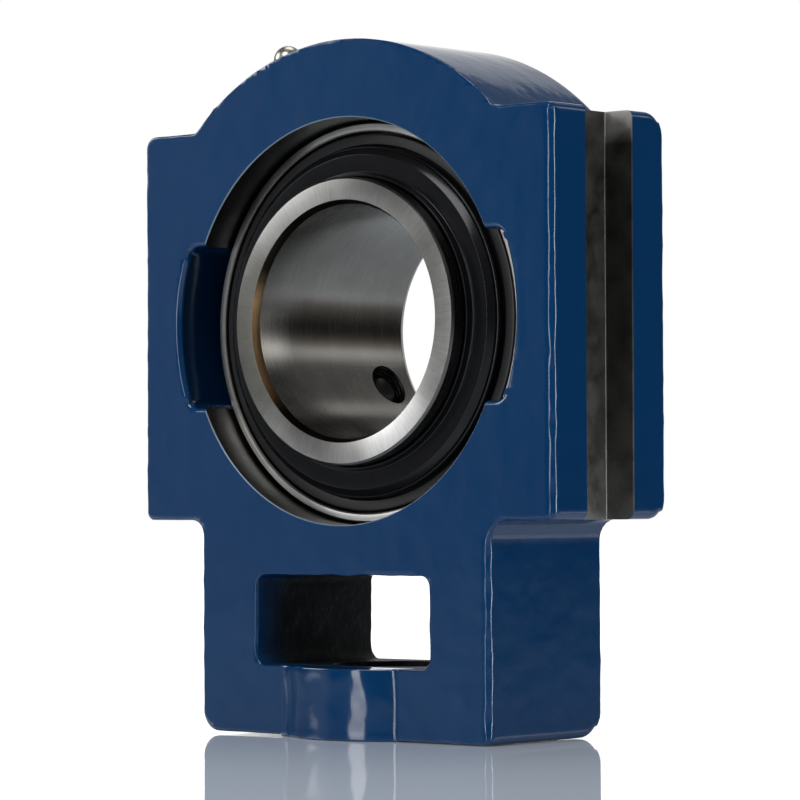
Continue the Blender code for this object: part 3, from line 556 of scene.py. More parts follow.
# Casting

def castOutline():
    shoulder = halfGuide + casting["taller"]
    start = math.degrees(math.asin(shoulder / casting["headRadius"]))
    head = arc((0, 0), casting["headRadius"], start, 180 - start, 64)
    tail = casting["tailHalfWidth"]

    def side(radii):
        return [(tail, radii["gap"] - tailLength, radii["foot"]), (tail, -halfGuide, radii["fillet"]),
                (halfWidth, -halfGuide, radii["low"]), (halfWidth, shoulder, radii["top"])]

    crown = [(*head[0], casting["headFillet"])] + sharp(head[1:-1]) + [(*head[-1], casting["headFillet"])]
    corners = side(casting["right"]) + crown + [(-x, y, r) for x, y, r in reversed(side(casting["left"]))]
    return finer(roundCorners(corners, 7), 3 * mm)


def edgeRadii(outline, normals, atFront):
    # the casting's edges are crisp on the arc and softer down the right of the front face, most at the ends
    wanted = []
    ends = (halfGuide + casting["taller"], -halfGuide, -tailLength)
    for (x, y), normal in zip(outline, normals):
        if y > halfGuide + 1 * mm:
            wanted.append(casting["crispEdge"] if atFront else casting["rearHeadEdge"])
        elif atFront and x > 0 and normal.x > 0.97:
            toEnd = min(abs(y - end) for end in (ends[:2] if x > casting["tailHalfWidth"] + 1 * mm else ends[2:]))
            wanted.append(casting["softEdge"] * (1 + 0.9 * (1 - smoothStep(toEnd, 1.5 * mm, 7 * mm))))
        else:
            wanted.append(casting["edge"] if atFront else casting["rearEdge"])
    count = len(outline)
    radii = []
    for i, (x, y) in enumerate(outline):
        near = [(wanted[j % count], math.dist(outline[j % count], (x, y))) for j in range(i - 6, i + 7)]
        weights = [max(0.0, 1 - distance / (3 * mm)) for value, distance in near]
        radius = sum(value * weight for (value, distance), weight in zip(near, weights)) / sum(weights)
        back = Vector((x, y)) - Vector(outline[i - 1])
        ahead = Vector(outline[(i + 1) % count]) - Vector((x, y))
        turn = math.atan2(back.cross(ahead), back.dot(ahead))
        if turn > 0.03:
            radius = min(radius, 0.85 * min(back.length, ahead.length) / turn)
        radii.append(radius)
    return radii


def castingBlank(outline):
    normals = outlineNormals(outline)
    front, rear = edgeRadii(outline, normals, True), edgeRadii(outline, normals, False)
    bm = bmesh.new()
    loops = []
    steps = 5
    for radii, sign, order in ((rear, -1, range(steps + 1)), (front, 1, range(steps, -1, -1))):
        for step in order:
            angle = math.pi / 2 * step / steps
            loops.append([bm.verts.new((x - n.x * r * (1 - math.sin(angle)), y - n.y * r * (1 - math.sin(angle)),
                                        sign * (halfPlate - r * (1 - math.cos(angle)))))
                          for (x, y), n, r in zip(outline, normals, radii)])
    for lower, upper in zip(loops, loops[1:]):
        for i in range(len(outline)):
            bm.faces.new((lower[i - 1], lower[i], upper[i], upper[i - 1]))
    bm.faces.new(reversed(loops[0]))
    bm.faces.new(loops[-1])
    bmesh.ops.recalc_face_normals(bm, faces=bm.faces)
    return bm


# towards the rear the head is fuller at the top, falls away to the right, and the shoulder rises;
# in mm, and mm for each degree from the top
lean = {"fuller": 0.85, "fallsAway": 0.043, "shoulderRise": 0.35}
# where the rear edge is rounded more: level, radius, and how far from the middle it begins and is full
rearCorners = [(halfGuide + casting["taller"] + 0.3 * mm, 5.4 * mm, (43.5 * mm, 49 * mm)),
               (-halfGuide, 4.2 * mm, (45 * mm, 50 * mm)), (0.2 * mm - tailLength, 6 * mm, (26 * mm, 34 * mm))]


def leanHead(bm):
    for v in bm.verts:
        towardsRear = 0.5 - 0.5 * v.co.z / halfPlate
        angle = math.degrees(math.atan2(v.co.x, v.co.y))
        onHead = smoothStep(math.hypot(v.co.x, v.co.y), 52 * mm, 59 * mm) * smoothStep(v.co.y, 40 * mm, 43 * mm)
        swell = (lean["fuller"] - lean["fallsAway"] * max(0.0, angle)) * mm * towardsRear * onHead
        swell *= smoothStep(angle, -24, -4)
        if swell > 0:
            v.co.x += swell * math.sin(math.radians(angle))
            v.co.y += swell * math.cos(math.radians(angle))
        elif angle > 0:
            v.co.x += swell / math.sin(math.radians(angle)) * (1 - smoothStep(v.co.x, 43.5 * mm, 52 * mm))
        onShoulder = smoothStep(v.co.x, 42 * mm, 45 * mm) * smoothStep(v.co.y, 38 * mm, 42 * mm)
        v.co.y += lean["shoulderRise"] * mm * towardsRear * onShoulder


def roundRearCorner(bm, level, corner, reach):
    # rounds the edge between the rear face and the level top or bottom at this height
    sign = 1 if level > 0 else -1
    for v in bm.verts:
        radius = corner * smoothStep(abs(v.co.x), *reach)
        up = sign * (v.co.y - level) + radius
        back = radius - halfPlate - v.co.z
        if 0 < up <= radius + 1 * mm and back > 0:
            scale = max(up, back) / math.hypot(up, back) - 1
            v.co.y += sign * up * scale
            v.co.z -= back * scale


def plateBlank(outline, low, high):
    # the outline drawn out from z = low to z = high
    bm = bmesh.new()
    face = bm.faces.new([bm.verts.new((x, y, low)) for x, y in outline])
    drawn = bmesh.ops.extrude_face_region(bm, geom=[face])
    top = [item for item in drawn["geom"] if isinstance(item, bmesh.types.BMVert)]
    bmesh.ops.translate(bm, verts=top, vec=(0, 0, high - low))
    bmesh.ops.recalc_face_normals(bm, faces=bm.faces)
    return bm


def sliceUp(bm, size):
    # cuts the mesh on a grid, so that its flat faces can carry the waves of a casting
    for axis in range(3):
        values = [v.co[axis] for v in bm.verts]
        low, high = min(values), max(values)
        count = int((high - low) / size)
        normal = [0, 0, 0]
        normal[axis] = 1
        for i in range(1, count):
            point = [0, 0, 0]
            point[axis] = low + (high - low) * i / count
            geometry = bm.verts[:] + bm.edges[:] + bm.faces[:]
            bmesh.ops.bisect_plane(bm, geom=geometry, dist=weld, plane_co=point, plane_no=normal)


def unevenness(point, normal):
    # how far a cast and painted face swells or sinks at this point
    swell = casting["wave"] * (noise.noise(point / (11 * mm)) + 0.5 * noise.noise(point / (4.5 * mm)))
    onEdge = 4 * normal.z ** 2 * (1 - normal.z ** 2) * (0.25 if point.y > halfGuide + 2 * mm else 1)
    if point.z < 0:
        onEdge *= 1 - 0.9 * min(1.0, 1.5 * abs(normal.y))
    ripple = noise.noise(point / (5.5 * mm)) + 0.9 * noise.noise(point / (2.6 * mm))
    return swell - casting["inwards"] + casting["edgeWave"] * onEdge * (0.6 * ripple - 0.25)


# dents in the rim of the front face: place, depth and reach in mm
rimDents = [(-34.6, 49.9, 0.55, 2.2), (-36.8, 48.6, -0.25, 1.6), (-30.5, 53.0, 0.30, 2.2), (-58.2, -27.5, 0.38, 2.4),
            (-58.2, -20.5, 0.20, 2.0), (-58.2, 25.0, 0.22, 3.0), (-58.2, 9.0, 0.20, 3.5), (-41.0, -78.0, 0.22, 3.0)]


def makeUneven(bm):
    bm.normal_update()
    moves = []
    for v in bm.verts:
        distance = unevenness(v.co, v.normal)
        if v.co.z > halfPlate - 4 * mm:
            for x, y, depth, reach in rimDents:
                away = math.hypot(v.co.x - x * mm, v.co.y - y * mm) / (reach * mm)
                if away < 1.8 and abs(v.normal.z) < 0.9:
                    distance -= depth * mm * math.exp(-2.5 * away * away)
        moves.append((v, v.normal * distance))
    for v, move in moves:
        v.co += move


def flaredCutter(outline, low, high, lowRound, highRound, lip=0.0, drops=None):
    # a straight hole whose rim is rounded at either end, by widening the cutter towards its ends;
    # each point has its own rounding at the high end, and its own drop over the length of the lip
    normals = outlineNormals(outline)
    rounds = highRound if isinstance(highRound, list) else [highRound] * len(outline)
    drops = drops or [0.0] * len(outline)
    angles = [math.pi / 2 * i / 6 for i in range(7)]
    extra = 0.6 * mm
    sections = []
    if lowRound:
        sections.append([(lowRound + extra, low - extra)] * len(outline))
        sections += [[(lowRound * (1 - math.cos(a)), low + lowRound * (1 - math.sin(a)))] * len(outline)
                     for a in reversed(angles)]
    else:
        sections.append([(0, low)] * len(outline))
    if lip:
        sections += [[(0, high - lip * part)] * len(outline) for part in (1.6, 1.3, 1.0)]
    sections += [[(r * (1 - math.cos(a)) + drop, high - r * (1 - math.sin(a))) for r, drop in zip(rounds, drops)]
                 for a in angles]
    sections.append([(r + drop + extra, high + extra) for r, drop in zip(rounds, drops)])
    bm = bmesh.new()
    loops = []
    for section in sections:
        verts = [bm.verts.new((x + n.x * distance, y + n.y * distance, z))
                 for (x, y), n, (distance, z) in zip(outline, normals, section)]
        loops.append([bm.edges.new((verts[i - 1], verts[i])) for i in range(len(verts))])
    for lower, upper in zip(loops, loops[1:]):
        bmesh.ops.bridge_loops(bm, edges=lower + upper)
    bmesh.ops.holes_fill(bm, edges=bm.edges)
    bmesh.ops.recalc_face_normals(bm, faces=bm.faces)
    return bm


def seatCutter():
    half = math.degrees(math.acos(casting["mouthRadius"] / casting["seatRadius"]))
    mouth, chamfer = casting["mouthRadius"], casting["mouthChamfer"]
    over = 2 * mm
    front = [(0, halfPlate + over), (mouth + chamfer + over, halfPlate + over), (mouth, halfPlate - chamfer)]
    ball = arc((0, 0), casting["seatRadius"], half, -half, 20)
    return lathe(front + ball + [(r, -z) for r, z in reversed(front)], 192, closed=False)


def loadingOutline():
    radius = casting["loadingRadius"]
    start = math.degrees(math.asin(casting["loadingHalfHeight"] / radius))
    wall = arc((0, 0), radius, -start, start, 24)
    right = [(*wall[0], casting["loadingCorner"])] + sharp(wall[1:-1]) + [(*wall[-1], casting["loadingCorner"])]
    return roundCorners(right + [(-x, -y, r) for x, y, r in right], 6)


def slotOutline():
    half, corner = casting["slotHalfWidth"], casting["slotCorner"]
    floor, top = -casting["slotFloor"], -casting["slotTop"]
    corners = [(-half, floor, corner), (half, floor, corner), (half, top, corner), (-half, top, corner)]
    uneven = []
    for x, y in finer(roundCorners(corners, 6), 1.5 * mm):
        wobble = 0.30 * mm * noise.noise(Vector((x, y, 0)) / (4 * mm)) * (0 if y < floor + 0.3 * mm else 1)
        direction = Vector((x, y + casting["slotTop"] + 10 * mm)).normalized()
        uneven.append((x + direction.x * wobble, y + direction.y * wobble))
    return uneven


def paintedRim(bm, reach):
    # the paint of the front face runs a little way in
    for face in bm.faces:
        centre = face.calc_center_median()
        depth = reach * (1 + 0.4 * noise.noise(centre / (5 * mm)))
        face.material_index = 1 if abs(centre.z) > halfPlate - depth else 0


def slotCutter():
    # the left rim is softer and the lower left one crisp, and the floor slopes a little to the front
    outline = slotOutline()
    normals = outlineNormals(outline)
    rim, leftRim = casting["slotRound"], casting["slotLeftRound"]
    rounds = [rim + (leftRim - rim) * max(0.0, -n.x) ** 2 - 0.6 * rim * max(0.0, -n.y) * (x < 4 * mm)
              for n, (x, y) in zip(normals, outline)]
    drops = [casting["slotLipDrop"] * smoothStep(-n.y, 0.3, 0.9) for n in normals]
    bm = flaredCutter(outline, -halfPlate, halfPlate, rim, rounds, casting["slotLip"], drops)
    for face in bm.faces:
        onRim = abs(face.calc_center_median().z) > halfPlate - 0.8 * mm
        face.material_index = 1 if onRim or face.normal.y > 0.8 else 0
    return bm


def grooveCutter(side):
    # a milled groove with broken edges, run out past both ends of the guide
    wall, depth = casting["grooveWidth"] / 2, halfWidth - casting["grooveBottom"]
    edge, over = casting["grooveBreak"], 1.2 * mm
    corners = [(0, 0, 0), (0, wall, 0.35 * mm), (depth - edge, wall, 0), (depth + over, wall + edge + over, 0)]
    half = roundCorners(corners, 4, closed=False)
    section = half + [(x, -y) for x, y in reversed(half[1:])]
    bm = plateBlank(section, -halfGuide - 2 * mm, halfGuide + 2 * mm)
    sideways = Matrix(((side, 0, 0, side * casting["grooveBottom"]), (0, 0, 1, 0), (0, 1, 0, 0), (0, 0, 0, 1)))
    bmesh.ops.transform(bm, matrix=sideways, verts=bm.verts)
    bmesh.ops.recalc_face_normals(bm, faces=bm.faces)
    return bm


def upright(bm):
    # from along z to along y
    bmesh.ops.rotate(bm, cent=(0, 0, 0), matrix=Matrix.Rotation(-math.pi / 2, 3, "X"), verts=bm.verts)
    return bm


def bossReach(angle, fillet):
    # distance from the boss's axis to its wall, or to the fillet that runs out on the plate's face;
    # the angle is 0 along the plate and 90 degrees straight out of it
    radius, face = casting["bossRadius"], halfPlate - casting["inwards"]
    away = math.sqrt((radius + fillet) ** 2 - (face + fillet) ** 2)
    atFace = math.atan2(face, away)
    if angle >= math.atan2(face + fillet, away):
        return radius
    if angle < atFace:
        return radius + (math.hypot(away, face) - radius) * (angle / atFace) ** 3
    towards = away * math.cos(angle) + (face + fillet) * math.sin(angle)
    return towards - math.sqrt(max(0.0, towards ** 2 - (radius + fillet) ** 2 + fillet ** 2))


def bossBlank():
    radius, rim = casting["bossRadius"], casting["bossRound"]
    top = -casting["slotFloor"] - 0.05 * mm
    corners = [(0, top, 0), (radius, top, rim), (radius, -tailLength, rim), (0, -tailLength, 0)]
    profile = finer(roundCorners(corners, 5, closed=False), 1.2 * mm, closed=False)
    bm = upright(lathe(profile, 264, closed=False))
    for v in bm.verts:
        own = math.hypot(v.co.x, v.co.z)
        if own > radius - rim - 0.01 * mm:
            fillet = casting["bossFilletLeft" if v.co.x < 0 else "bossFilletRight"]
            reach = bossReach(math.atan2(abs(v.co.z), abs(v.co.x)), fillet) - (radius - own)
            v.co.x *= reach / own
            v.co.z *= reach / own
    bm.normal_update()
    # the end that it stands on stays flat, and the wall is less even near its top
    flat = -tailLength + 0.4 * mm
    for v in bm.verts:
        if v.co.y > flat and abs(v.co.z) > halfPlate:
            uneven = (0.10 + 0.12 * smoothStep(v.co.y, top - 7 * mm, top - 1 * mm)) * noise.noise(v.co / (6 * mm))
            v.co += v.normal * (uneven + 0.05 * noise.noise(v.co / (3 * mm)) - 0.06) * mm
    return bm


nippleAngle = 118
nippleLook = inMetres({"seat": 60.1, "clearance": 0.3,
              "spotFace": 5.5, "tapped": 3.0, "tappedDepth": 6.8, "passage": 1.75})


def nippleHoleCutter():
    seat, tapped = nippleLook["seat"], nippleLook["tapped"]
    outer = casting["headRadius"] + 2 * mm
    end = seat - nippleLook["tappedDepth"]
    face, passage, inside = nippleLook["spotFace"], nippleLook["passage"], casting["seatRadius"] - 2 * mm
    profile = [(0, outer), (face, outer), (face, seat), (tapped, seat), (tapped, end), (passage, end - 1.2 * mm),
               (passage, inside), (0, inside)]
    bm = lathe(profile, 40, closed=False)
    bmesh.ops.transform(bm, matrix=outwards(nippleAngle), verts=bm.verts)
    return bm


def screwHoleCutter():
    hole = casting["screwHole"]
    low, high = -tailLength - 2 * mm, -casting["slotFloor"] + 2 * mm
    edge = 0.8 * mm
    profile = [(0, high), (hole, high), (hole, -tailLength + edge), (hole + edge, -tailLength), (hole + edge, low),
               (0, low)]
    return upright(lathe(profile, 96, closed=False))


def makeCasting():
    bm = castingBlank(castOutline())
    sliceUp(bm, casting["grid"])
    leanHead(bm)
    for corner in rearCorners:
        roundRearCorner(bm, *corner)
    makeUneven(bm)
    obj = meshObject("casting", bm, [paint])
    print("  blank", len(obj.data.polygons))
    loading = flaredCutter(loadingOutline(), -0.5 * mm, halfPlate, 0, casting["loadingRound"])
    # deeper in, the loading slots take the darker enamel as painted shade; the rounded rim keeps the front's paint
    paintedRim(loading, 1.4 * mm)
    carve(obj, loading, [paintedShadeEnamel, paint])
    carve(obj, slotCutter(), [slotIron, paint])
    carve(obj, bossBlank(), [paint], "UNION")
    seat = seatCutter()
    for face in seat.faces:
        face.material_index = 1 if abs(face.calc_center_median().z) > halfPlate - casting["mouthChamfer"] else 0
    carve(obj, seat, [seatIron, bareEdge])
    # the screw hole takes the near-black slot casting, partly as painted shade inside the hole
    carve(obj, screwHoleCutter(), [slotIron])
    carve(obj, nippleHoleCutter(), [grooveIron])
    for side in (-1, 1):
        carve(obj, grooveCutter(side), [grooveIron])
    print("  casting", len(obj.data.polygons))
    place(obj, "housing", ["housing"], "blue_enamel")


print("stage: casting")
makeCasting()


# Bearing insert

bearing = inMetres({
    "bore": 25.4, "land": 31.2, "pitch": 35.2, "race": 6.65, "raceHalf": 5.31, "outerLand": 39.2,
    "sphere": 45, "face": 11, "landEnd": 8.1, "sealSink": 0.35, "sealSeat": 41.395, "sealEye": 38.695,
    "ringCorner": 0.4,
    "boreChamfer": 0.85, "boreChamferDepth": 1.75, "landChamfer": 0.5, "ballRadius": 6.35,
    "clearance": 0.3,
})
ballCount, ringSteps = 10, 192


def materialByHeightAndRadius(obj, choose):
    # gives each face a material by its middle and normal
    for polygon in obj.data.polygons:
        centre = polygon.center
        radius = math.hypot(centre.x, centre.y)
        polygon.material_index = choose(radius, centre.z, polygon.normal)


def raceArc(centreAngle):
    spread = math.degrees(math.asin(bearing["raceHalf"] / bearing["race"]))
    return arc((bearing["pitch"], 0), bearing["race"], centreAngle - spread, centreAngle + spread, 16)


def makeOuterRing():
    sphere, face, corner = bearing["sphere"], bearing["face"], bearing["ringCorner"]
    edge = math.degrees(math.asin((face - corner) / sphere))
    edgeRadius = math.sqrt(sphere ** 2 - face ** 2)
    axis, half, depth = 6.78 * mm, 1.4 * mm, 0.5 * mm
    frontAngle, backAngle = (math.degrees(math.asin(at / sphere)) for at in (axis + half, axis - half))
    groove = math.sqrt((sphere - depth) ** 2 - axis ** 2)
    outside = arc((0, 0), sphere, edge, frontAngle, 3) + [(groove, axis + half), (groove, axis - half)]
    outside += arc((0, 0), sphere, backAngle, -edge, 26)
    rear = [(edgeRadius - corner, -face, 0.2 * mm), (bearing["sealSeat"], -face, 0.45 * mm),
            (bearing["sealSeat"], -bearing["landEnd"], 0), (bearing["outerLand"], -bearing["landEnd"], 0)]
    corners = sharp(outside) + rear + sharp(raceArc(0)) + [(r, -z, c) for r, z, c in reversed(rear)]
    obj = meshObject("outerRing", lathe(roundCorners(corners, 3), ringSteps), [landSteel, outerFaceSteel, seatIron])

    def choose(radius, z, normal):
        if abs(normal.z) > 0.99 and abs(z) > face - weld:
            return 1
        # the inner corner and seal seat take the dark turned-seat steel as painted shade, so the rounding shows no
        # highlight
        return 2 if radius < bearing["sealSeat"] + 0.5 * mm else 0

    materialByHeightAndRadius(obj, choose)
    place(obj, "insert", ["outer_ring"], "ground_steel")


screwAngles = (209.5, 89.5)
screwPlace = inMetres({"axis": 22.6, "hole": 5.0, "screw": 4.7, "length": 8,
              "backset": 1.2, "pitch": 1.0, "threadDepth": 0.35, "chamfer": 0.7,
              "cup": 2.7, "cupDepth": 1.2, "socket": 2.9, "socketDepth": 4.2})


def threaded(profile, low, high, rootRadius, crestRadius, steps=64):
    # a lathe profile whose outer rows follow a helical thread between low and high
    bm = lathe(profile, steps, closed=False)
    pitch = screwPlace["pitch"]
    for v in bm.verts:
        radius = math.hypot(v.co.x, v.co.y)
        if radius < rootRadius or not low <= v.co.z <= high:
            continue
        turn = math.atan2(v.co.y, v.co.x) / math.tau
        phase = (v.co.z / pitch - turn) % 1.0
        height = 1 - abs(2 * phase - 1)
        fade = min(1.0, (v.co.z - low) / pitch, (high - v.co.z) / pitch)
        wanted = crestRadius - (crestRadius - rootRadius) * (1 - height) * fade
        v.co.x *= wanted / radius
        v.co.y *= wanted / radius
    return bm


def rows(radius, low, high, spacing=0.125 * mm):
    count = round((high - low) / spacing)
    return [(radius, high + (low - high) * i / count) for i in range(count + 1)]


def setScrewHoleCutter(angle):
    crest, root = screwPlace["hole"] + 0.15 * mm, screwPlace["hole"] - 0.15 * mm
    low, high = bearing["bore"] - 2 * mm, bearing["land"] + 2 * mm
    profile = [(0, high)] + rows(crest, low, high, 0.2 * mm) + [(0, low)]
    bm = threaded(profile, low, high, root, crest, 48)
    bmesh.ops.transform(bm, matrix=outwards(angle, 0, -screwPlace["axis"]), verts=bm.verts)
    return bm


def makeInnerRing():
    bore, land, front, rear = bearing["bore"], bearing["land"], shaftY - innerLow.y, shaftY - innerHigh.y
    inside, outside, soft = bearing["boreChamfer"], bearing["landChamfer"], 0.08 * mm
    inwards = bearing["boreChamferDepth"]
    corners = [(bore, front - inwards, 0.4 * mm), (bore + inside, front, 0.03 * mm), (land - outside, front, soft),
               (land, front - outside, soft)]
    corners += sharp(sorted(raceArc(180), key=lambda point: -point[1]))
    corners += [(land, rear + outside, soft), (land - outside, rear, soft), (bore + inside, rear, 0.03 * mm),
                (bore, rear + inwards, 0.4 * mm)]
    obj = meshObject("innerRing", lathe(roundCorners(corners, 3), ringSteps),
                     [landSteel, faceSteel, boreSteel, chamferSteelWithPaintedGlow])

    def choose(radius, z, normal):
        if abs(normal.z) > 0.99:
            return 1
        if radius < bore + 0.02 * mm:
            return 2
        return 3 if radius < bore + inside + 0.05 * mm else 0

    materialByHeightAndRadius(obj, choose)
    for angle in screwAngles:
        # the threads in the ring take the black screw finish as painted shade in the holes
        carve(obj, setScrewHoleCutter(angle), [screwBlack])
    place(obj, "inner", ["inner_ring"], "ground_steel")


def makeSetScrews():
    radius, length, cup = screwPlace["screw"], screwPlace["length"], screwPlace["cup"]
    chamfer, depth = screwPlace["chamfer"], screwPlace["cupDepth"]
    for i, angle in enumerate(screwAngles, start=1):
        side = rows(radius, depth, length - chamfer)
        profile = [(0, length), (radius - chamfer, length)] + side
        profile += [(cup + 0.15 * mm, 0.05 * mm), (cup, 0), (cup - 0.15 * mm, 0.03 * mm), (0, depth)]
        bm = threaded(profile, depth, length - chamfer, radius - screwPlace["threadDepth"], radius)
        obj = meshObject(f"setScrew{i}", bm, [screwBlack])
        socket = bmesh.new()
        bmesh.ops.create_cone(socket, cap_ends=True, segments=6, radius1=screwPlace["socket"],
                              radius2=screwPlace["socket"], depth=screwPlace["socketDepth"] * 2,
                              matrix=Matrix.Translation((0, 0, length)))
        carve(obj, socket, [screwBlack])
        obj.data.transform(outwards(angle, bearing["bore"] + screwPlace["backset"], -screwPlace["axis"]))
        place(obj, f"set_screw_{i}", [f"set_screw_{i}"], "blackened_steel")


def sealProfile():
    rim, lip = bearing["sealSeat"] - bearing["clearance"], bearing["land"] + bearing["clearance"]
    eye, face = bearing["sealEye"], bearing["face"] - bearing["sealSink"]
    back = bearing["landEnd"] + bearing["clearance"]
    dish, web = 1.1 * mm, 0.9 * mm
    corners = [(rim, face, 0.4 * mm), (rim, back, 0), (eye, back, 0), (eye - dish, face - dish - web, 0),
               (lip + 0.6 * mm, face - dish - web, 0), (lip, face - dish - web / 2, 0.15 * mm),
               (lip + 0.6 * mm, face - dish, 0.2 * mm), (eye - 0.3 * mm, face - dish, 0.3 * mm),
               (eye, face, 0.3 * mm)]
    return roundCorners(corners, 4)


def flingerProfile():
    hub = bearing["land"] + bearing["clearance"]
    sheet, radius, face, hubEnd = 0.9 * mm, 38.295 * mm, 14 * mm, 15.3 * mm
    rimEnd, hubBack = bearing["face"] + 0.4 * mm, bearing["face"] - 0.7 * mm
    wall, bead = radius - 0.5 * mm, rimEnd + 1.0 * mm
    corners = [(wall - 1.5 * mm, face, 0.25 * mm), (wall, face - 1.05 * mm, 0.25 * mm), (wall, bead, 0.15 * mm),
               (radius, bead, 0.42 * mm), (radius, rimEnd, 0.3 * mm), (wall - sheet, rimEnd, 0.2 * mm),
               (wall - sheet, face - sheet, 0.4 * mm), (hub + sheet, face - sheet, 0.3 * mm),
               (hub + sheet, hubBack, 0), (hub, hubBack, 0), (hub, hubEnd, 0.12 * mm),
               (hub + sheet / 2, hubEnd, 0.15 * mm),
               (hub + sheet, face - 0.1 * mm, 0.3 * mm), (hub + 2.4 * sheet, face, 0)]
    return roundCorners(corners, 6)


def makeClosures():
    turnOver = Matrix.Rotation(math.pi, 4, "X")
    for kind, profile, material, body, slotName in (
            ("Seal", sealProfile(), rubber, "insert", "seal_rubber"),
            ("Flinger", flingerProfile(), flingerBlack, "inner", "black_flinger")):
        for side in ("front", "rear"):
            obj = meshObject(side + kind, lathe(profile, ringSteps), [material])
            if side == "rear":
                obj.data.transform(turnOver)
            place(obj, body, [f"{side}_{kind.lower()}"], slotName)


def makeBallsAndCage():
    for i in range(ballCount):
        bm = bmesh.new()
        angle = math.tau * i / ballCount
        centre = Vector((bearing["pitch"] * math.cos(angle), bearing["pitch"] * math.sin(angle), 0))
        bmesh.ops.create_uvsphere(bm, u_segments=32, v_segments=20, radius=bearing["ballRadius"],
                                  matrix=Matrix.Translation(centre))
        number = f"{i + 1:02d}"
        place(meshObject(f"ball{number}", bm, [ballSteel]), f"ball_{number}", [f"ball_{number}"], "polished_steel")
    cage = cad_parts["cage"]
    cage.data.materials.clear()
    cage.data.materials.append(polyamide)


print("stage: bearing")
makeOuterRing()
makeInnerRing()
makeClosures()
makeSetScrews()
makeBallsAndCage()


# Grease nipple

nipple = inMetres({"hexRadius": 4.04, "hexHeight": 3.2, "neck": 2.4, "head": 3.25, "neckLength": 2.8,
          "taper": 1.0, "headSide": 1.3, "shank": 2.7, "shankLength": 5.5, "duct": 0.8,
          "chamber": 1.5, "mouth": 0.9, "mouthDepth": 1.1, "ball": 1.2, "wire": 0.175,
          "springLength": 2.6})
springTurns = 5
headBase = nipple["hexHeight"] + nipple["neckLength"] + nipple["taper"]
nippleTop = headBase + nipple["headSide"] + nipple["head"]
chamberTop = nippleTop - nipple["mouthDepth"]
valveHeight = chamberTop - math.sqrt((nipple["ball"] + 0.15 * mm) ** 2 - nipple["mouth"] ** 2)
springTop = valveHeight - nipple["ball"]
springFoot = springTop - nipple["springLength"]
nipplePlace = outwards(nippleAngle, nippleLook["seat"] + nippleLook["clearance"])


def makeNipple():
    head, neck, shank = nipple["head"], nipple["neck"], nipple["shank"]
    dome = arc((0, headBase + nipple["headSide"]), head, 90, 0, 14)
    profile = sharp(dome) + [(head, headBase, 0.35 * mm), (neck, headBase - nipple["taper"], 0.4 * mm),
                             (neck, nipple["hexHeight"] / 2, 0), (shank, nipple["hexHeight"] / 2, 0),
                             (shank, -nipple["shankLength"], 0.2 * mm), (0, -nipple["shankLength"], 0)]
    obj = meshObject("greaseNipple", lathe(roundCorners(profile, 4, closed=False), 56, closed=False), [zinc])
    hexagon = bmesh.new()
    bmesh.ops.create_cone(hexagon, cap_ends=True, segments=6, radius1=nipple["hexRadius"],
                          radius2=nipple["hexRadius"], depth=nipple["hexHeight"],
                          matrix=Matrix.Translation((0, 0, nipple["hexHeight"] / 2)))
    bmesh.ops.bevel(hexagon, geom=hexagon.edges[:], offset=0.25 * mm, segments=3, profile=0.5, affect="EDGES",
                    material=-1)
    carve(obj, hexagon, [zinc], "UNION")
    over = 1 * mm
    chamberFloor = springFoot - 0.15 * mm
    mouth, chamber, narrow, foot = nipple["mouth"], nipple["chamber"], nipple["duct"], -nipple["shankLength"] - over
    duct = [(0, nippleTop + over), (mouth + 0.3 * mm + over, nippleTop + over), (mouth, nippleTop - 0.3 * mm),
            (mouth, chamberTop), (chamber, chamberTop - 0.6 * mm), (chamber, chamberFloor), (narrow, chamberFloor),
            (narrow, foot), (0, foot)]
    carve(obj, lathe(duct, 32, closed=False), [zinc])
    obj.data.transform(nipplePlace)
    place(obj, "housing", ["grease_nipple"], "zinc_plate")


def makeCheckValve():
    ball = bmesh.new()
    bmesh.ops.create_uvsphere(ball, u_segments=24, v_segments=16, radius=nipple["ball"],
                              matrix=nipplePlace @ Matrix.Translation((0, 0, valveHeight)))
    place(meshObject("checkBall", ball, [ballSteel]), "nipple_ball", ["nipple_ball"], "polished_steel")

    coil = bmesh.new()
    wire, steps = nipple["wire"], 24
    radius = nipple["chamber"] - 0.3 * mm - wire
    start = Matrix.Translation((radius, 0, springFoot + wire)) @ Matrix.Rotation(math.pi / 2, 4, "X")
    ring = bmesh.ops.create_circle(coil, cap_ends=False, segments=8, radius=wire, matrix=start)
    edges = list({edge for v in ring["verts"] for edge in v.link_edges})
    rise = (nipple["springLength"] - 2 * wire - 0.15 * mm) / (springTurns * steps)
    bmesh.ops.spin(coil, geom=ring["verts"] + edges, cent=(0, 0, 0), axis=(0, 0, 1), dvec=(0, 0, rise),
                   angle=math.tau * springTurns, steps=springTurns * steps, use_merge=False)
    bmesh.ops.holes_fill(coil, edges=coil.edges)
    bmesh.ops.recalc_face_normals(coil, faces=coil.faces)
    spring = meshObject("valveSpring", coil, [ballSteel])
    spring.data.transform(nipplePlace)
    place(spring, "housing", ["nipple_spring"], "polished_steel")
    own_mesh(spring)


print("stage: nipple")
makeNipple()
makeCheckValve()


# Studio

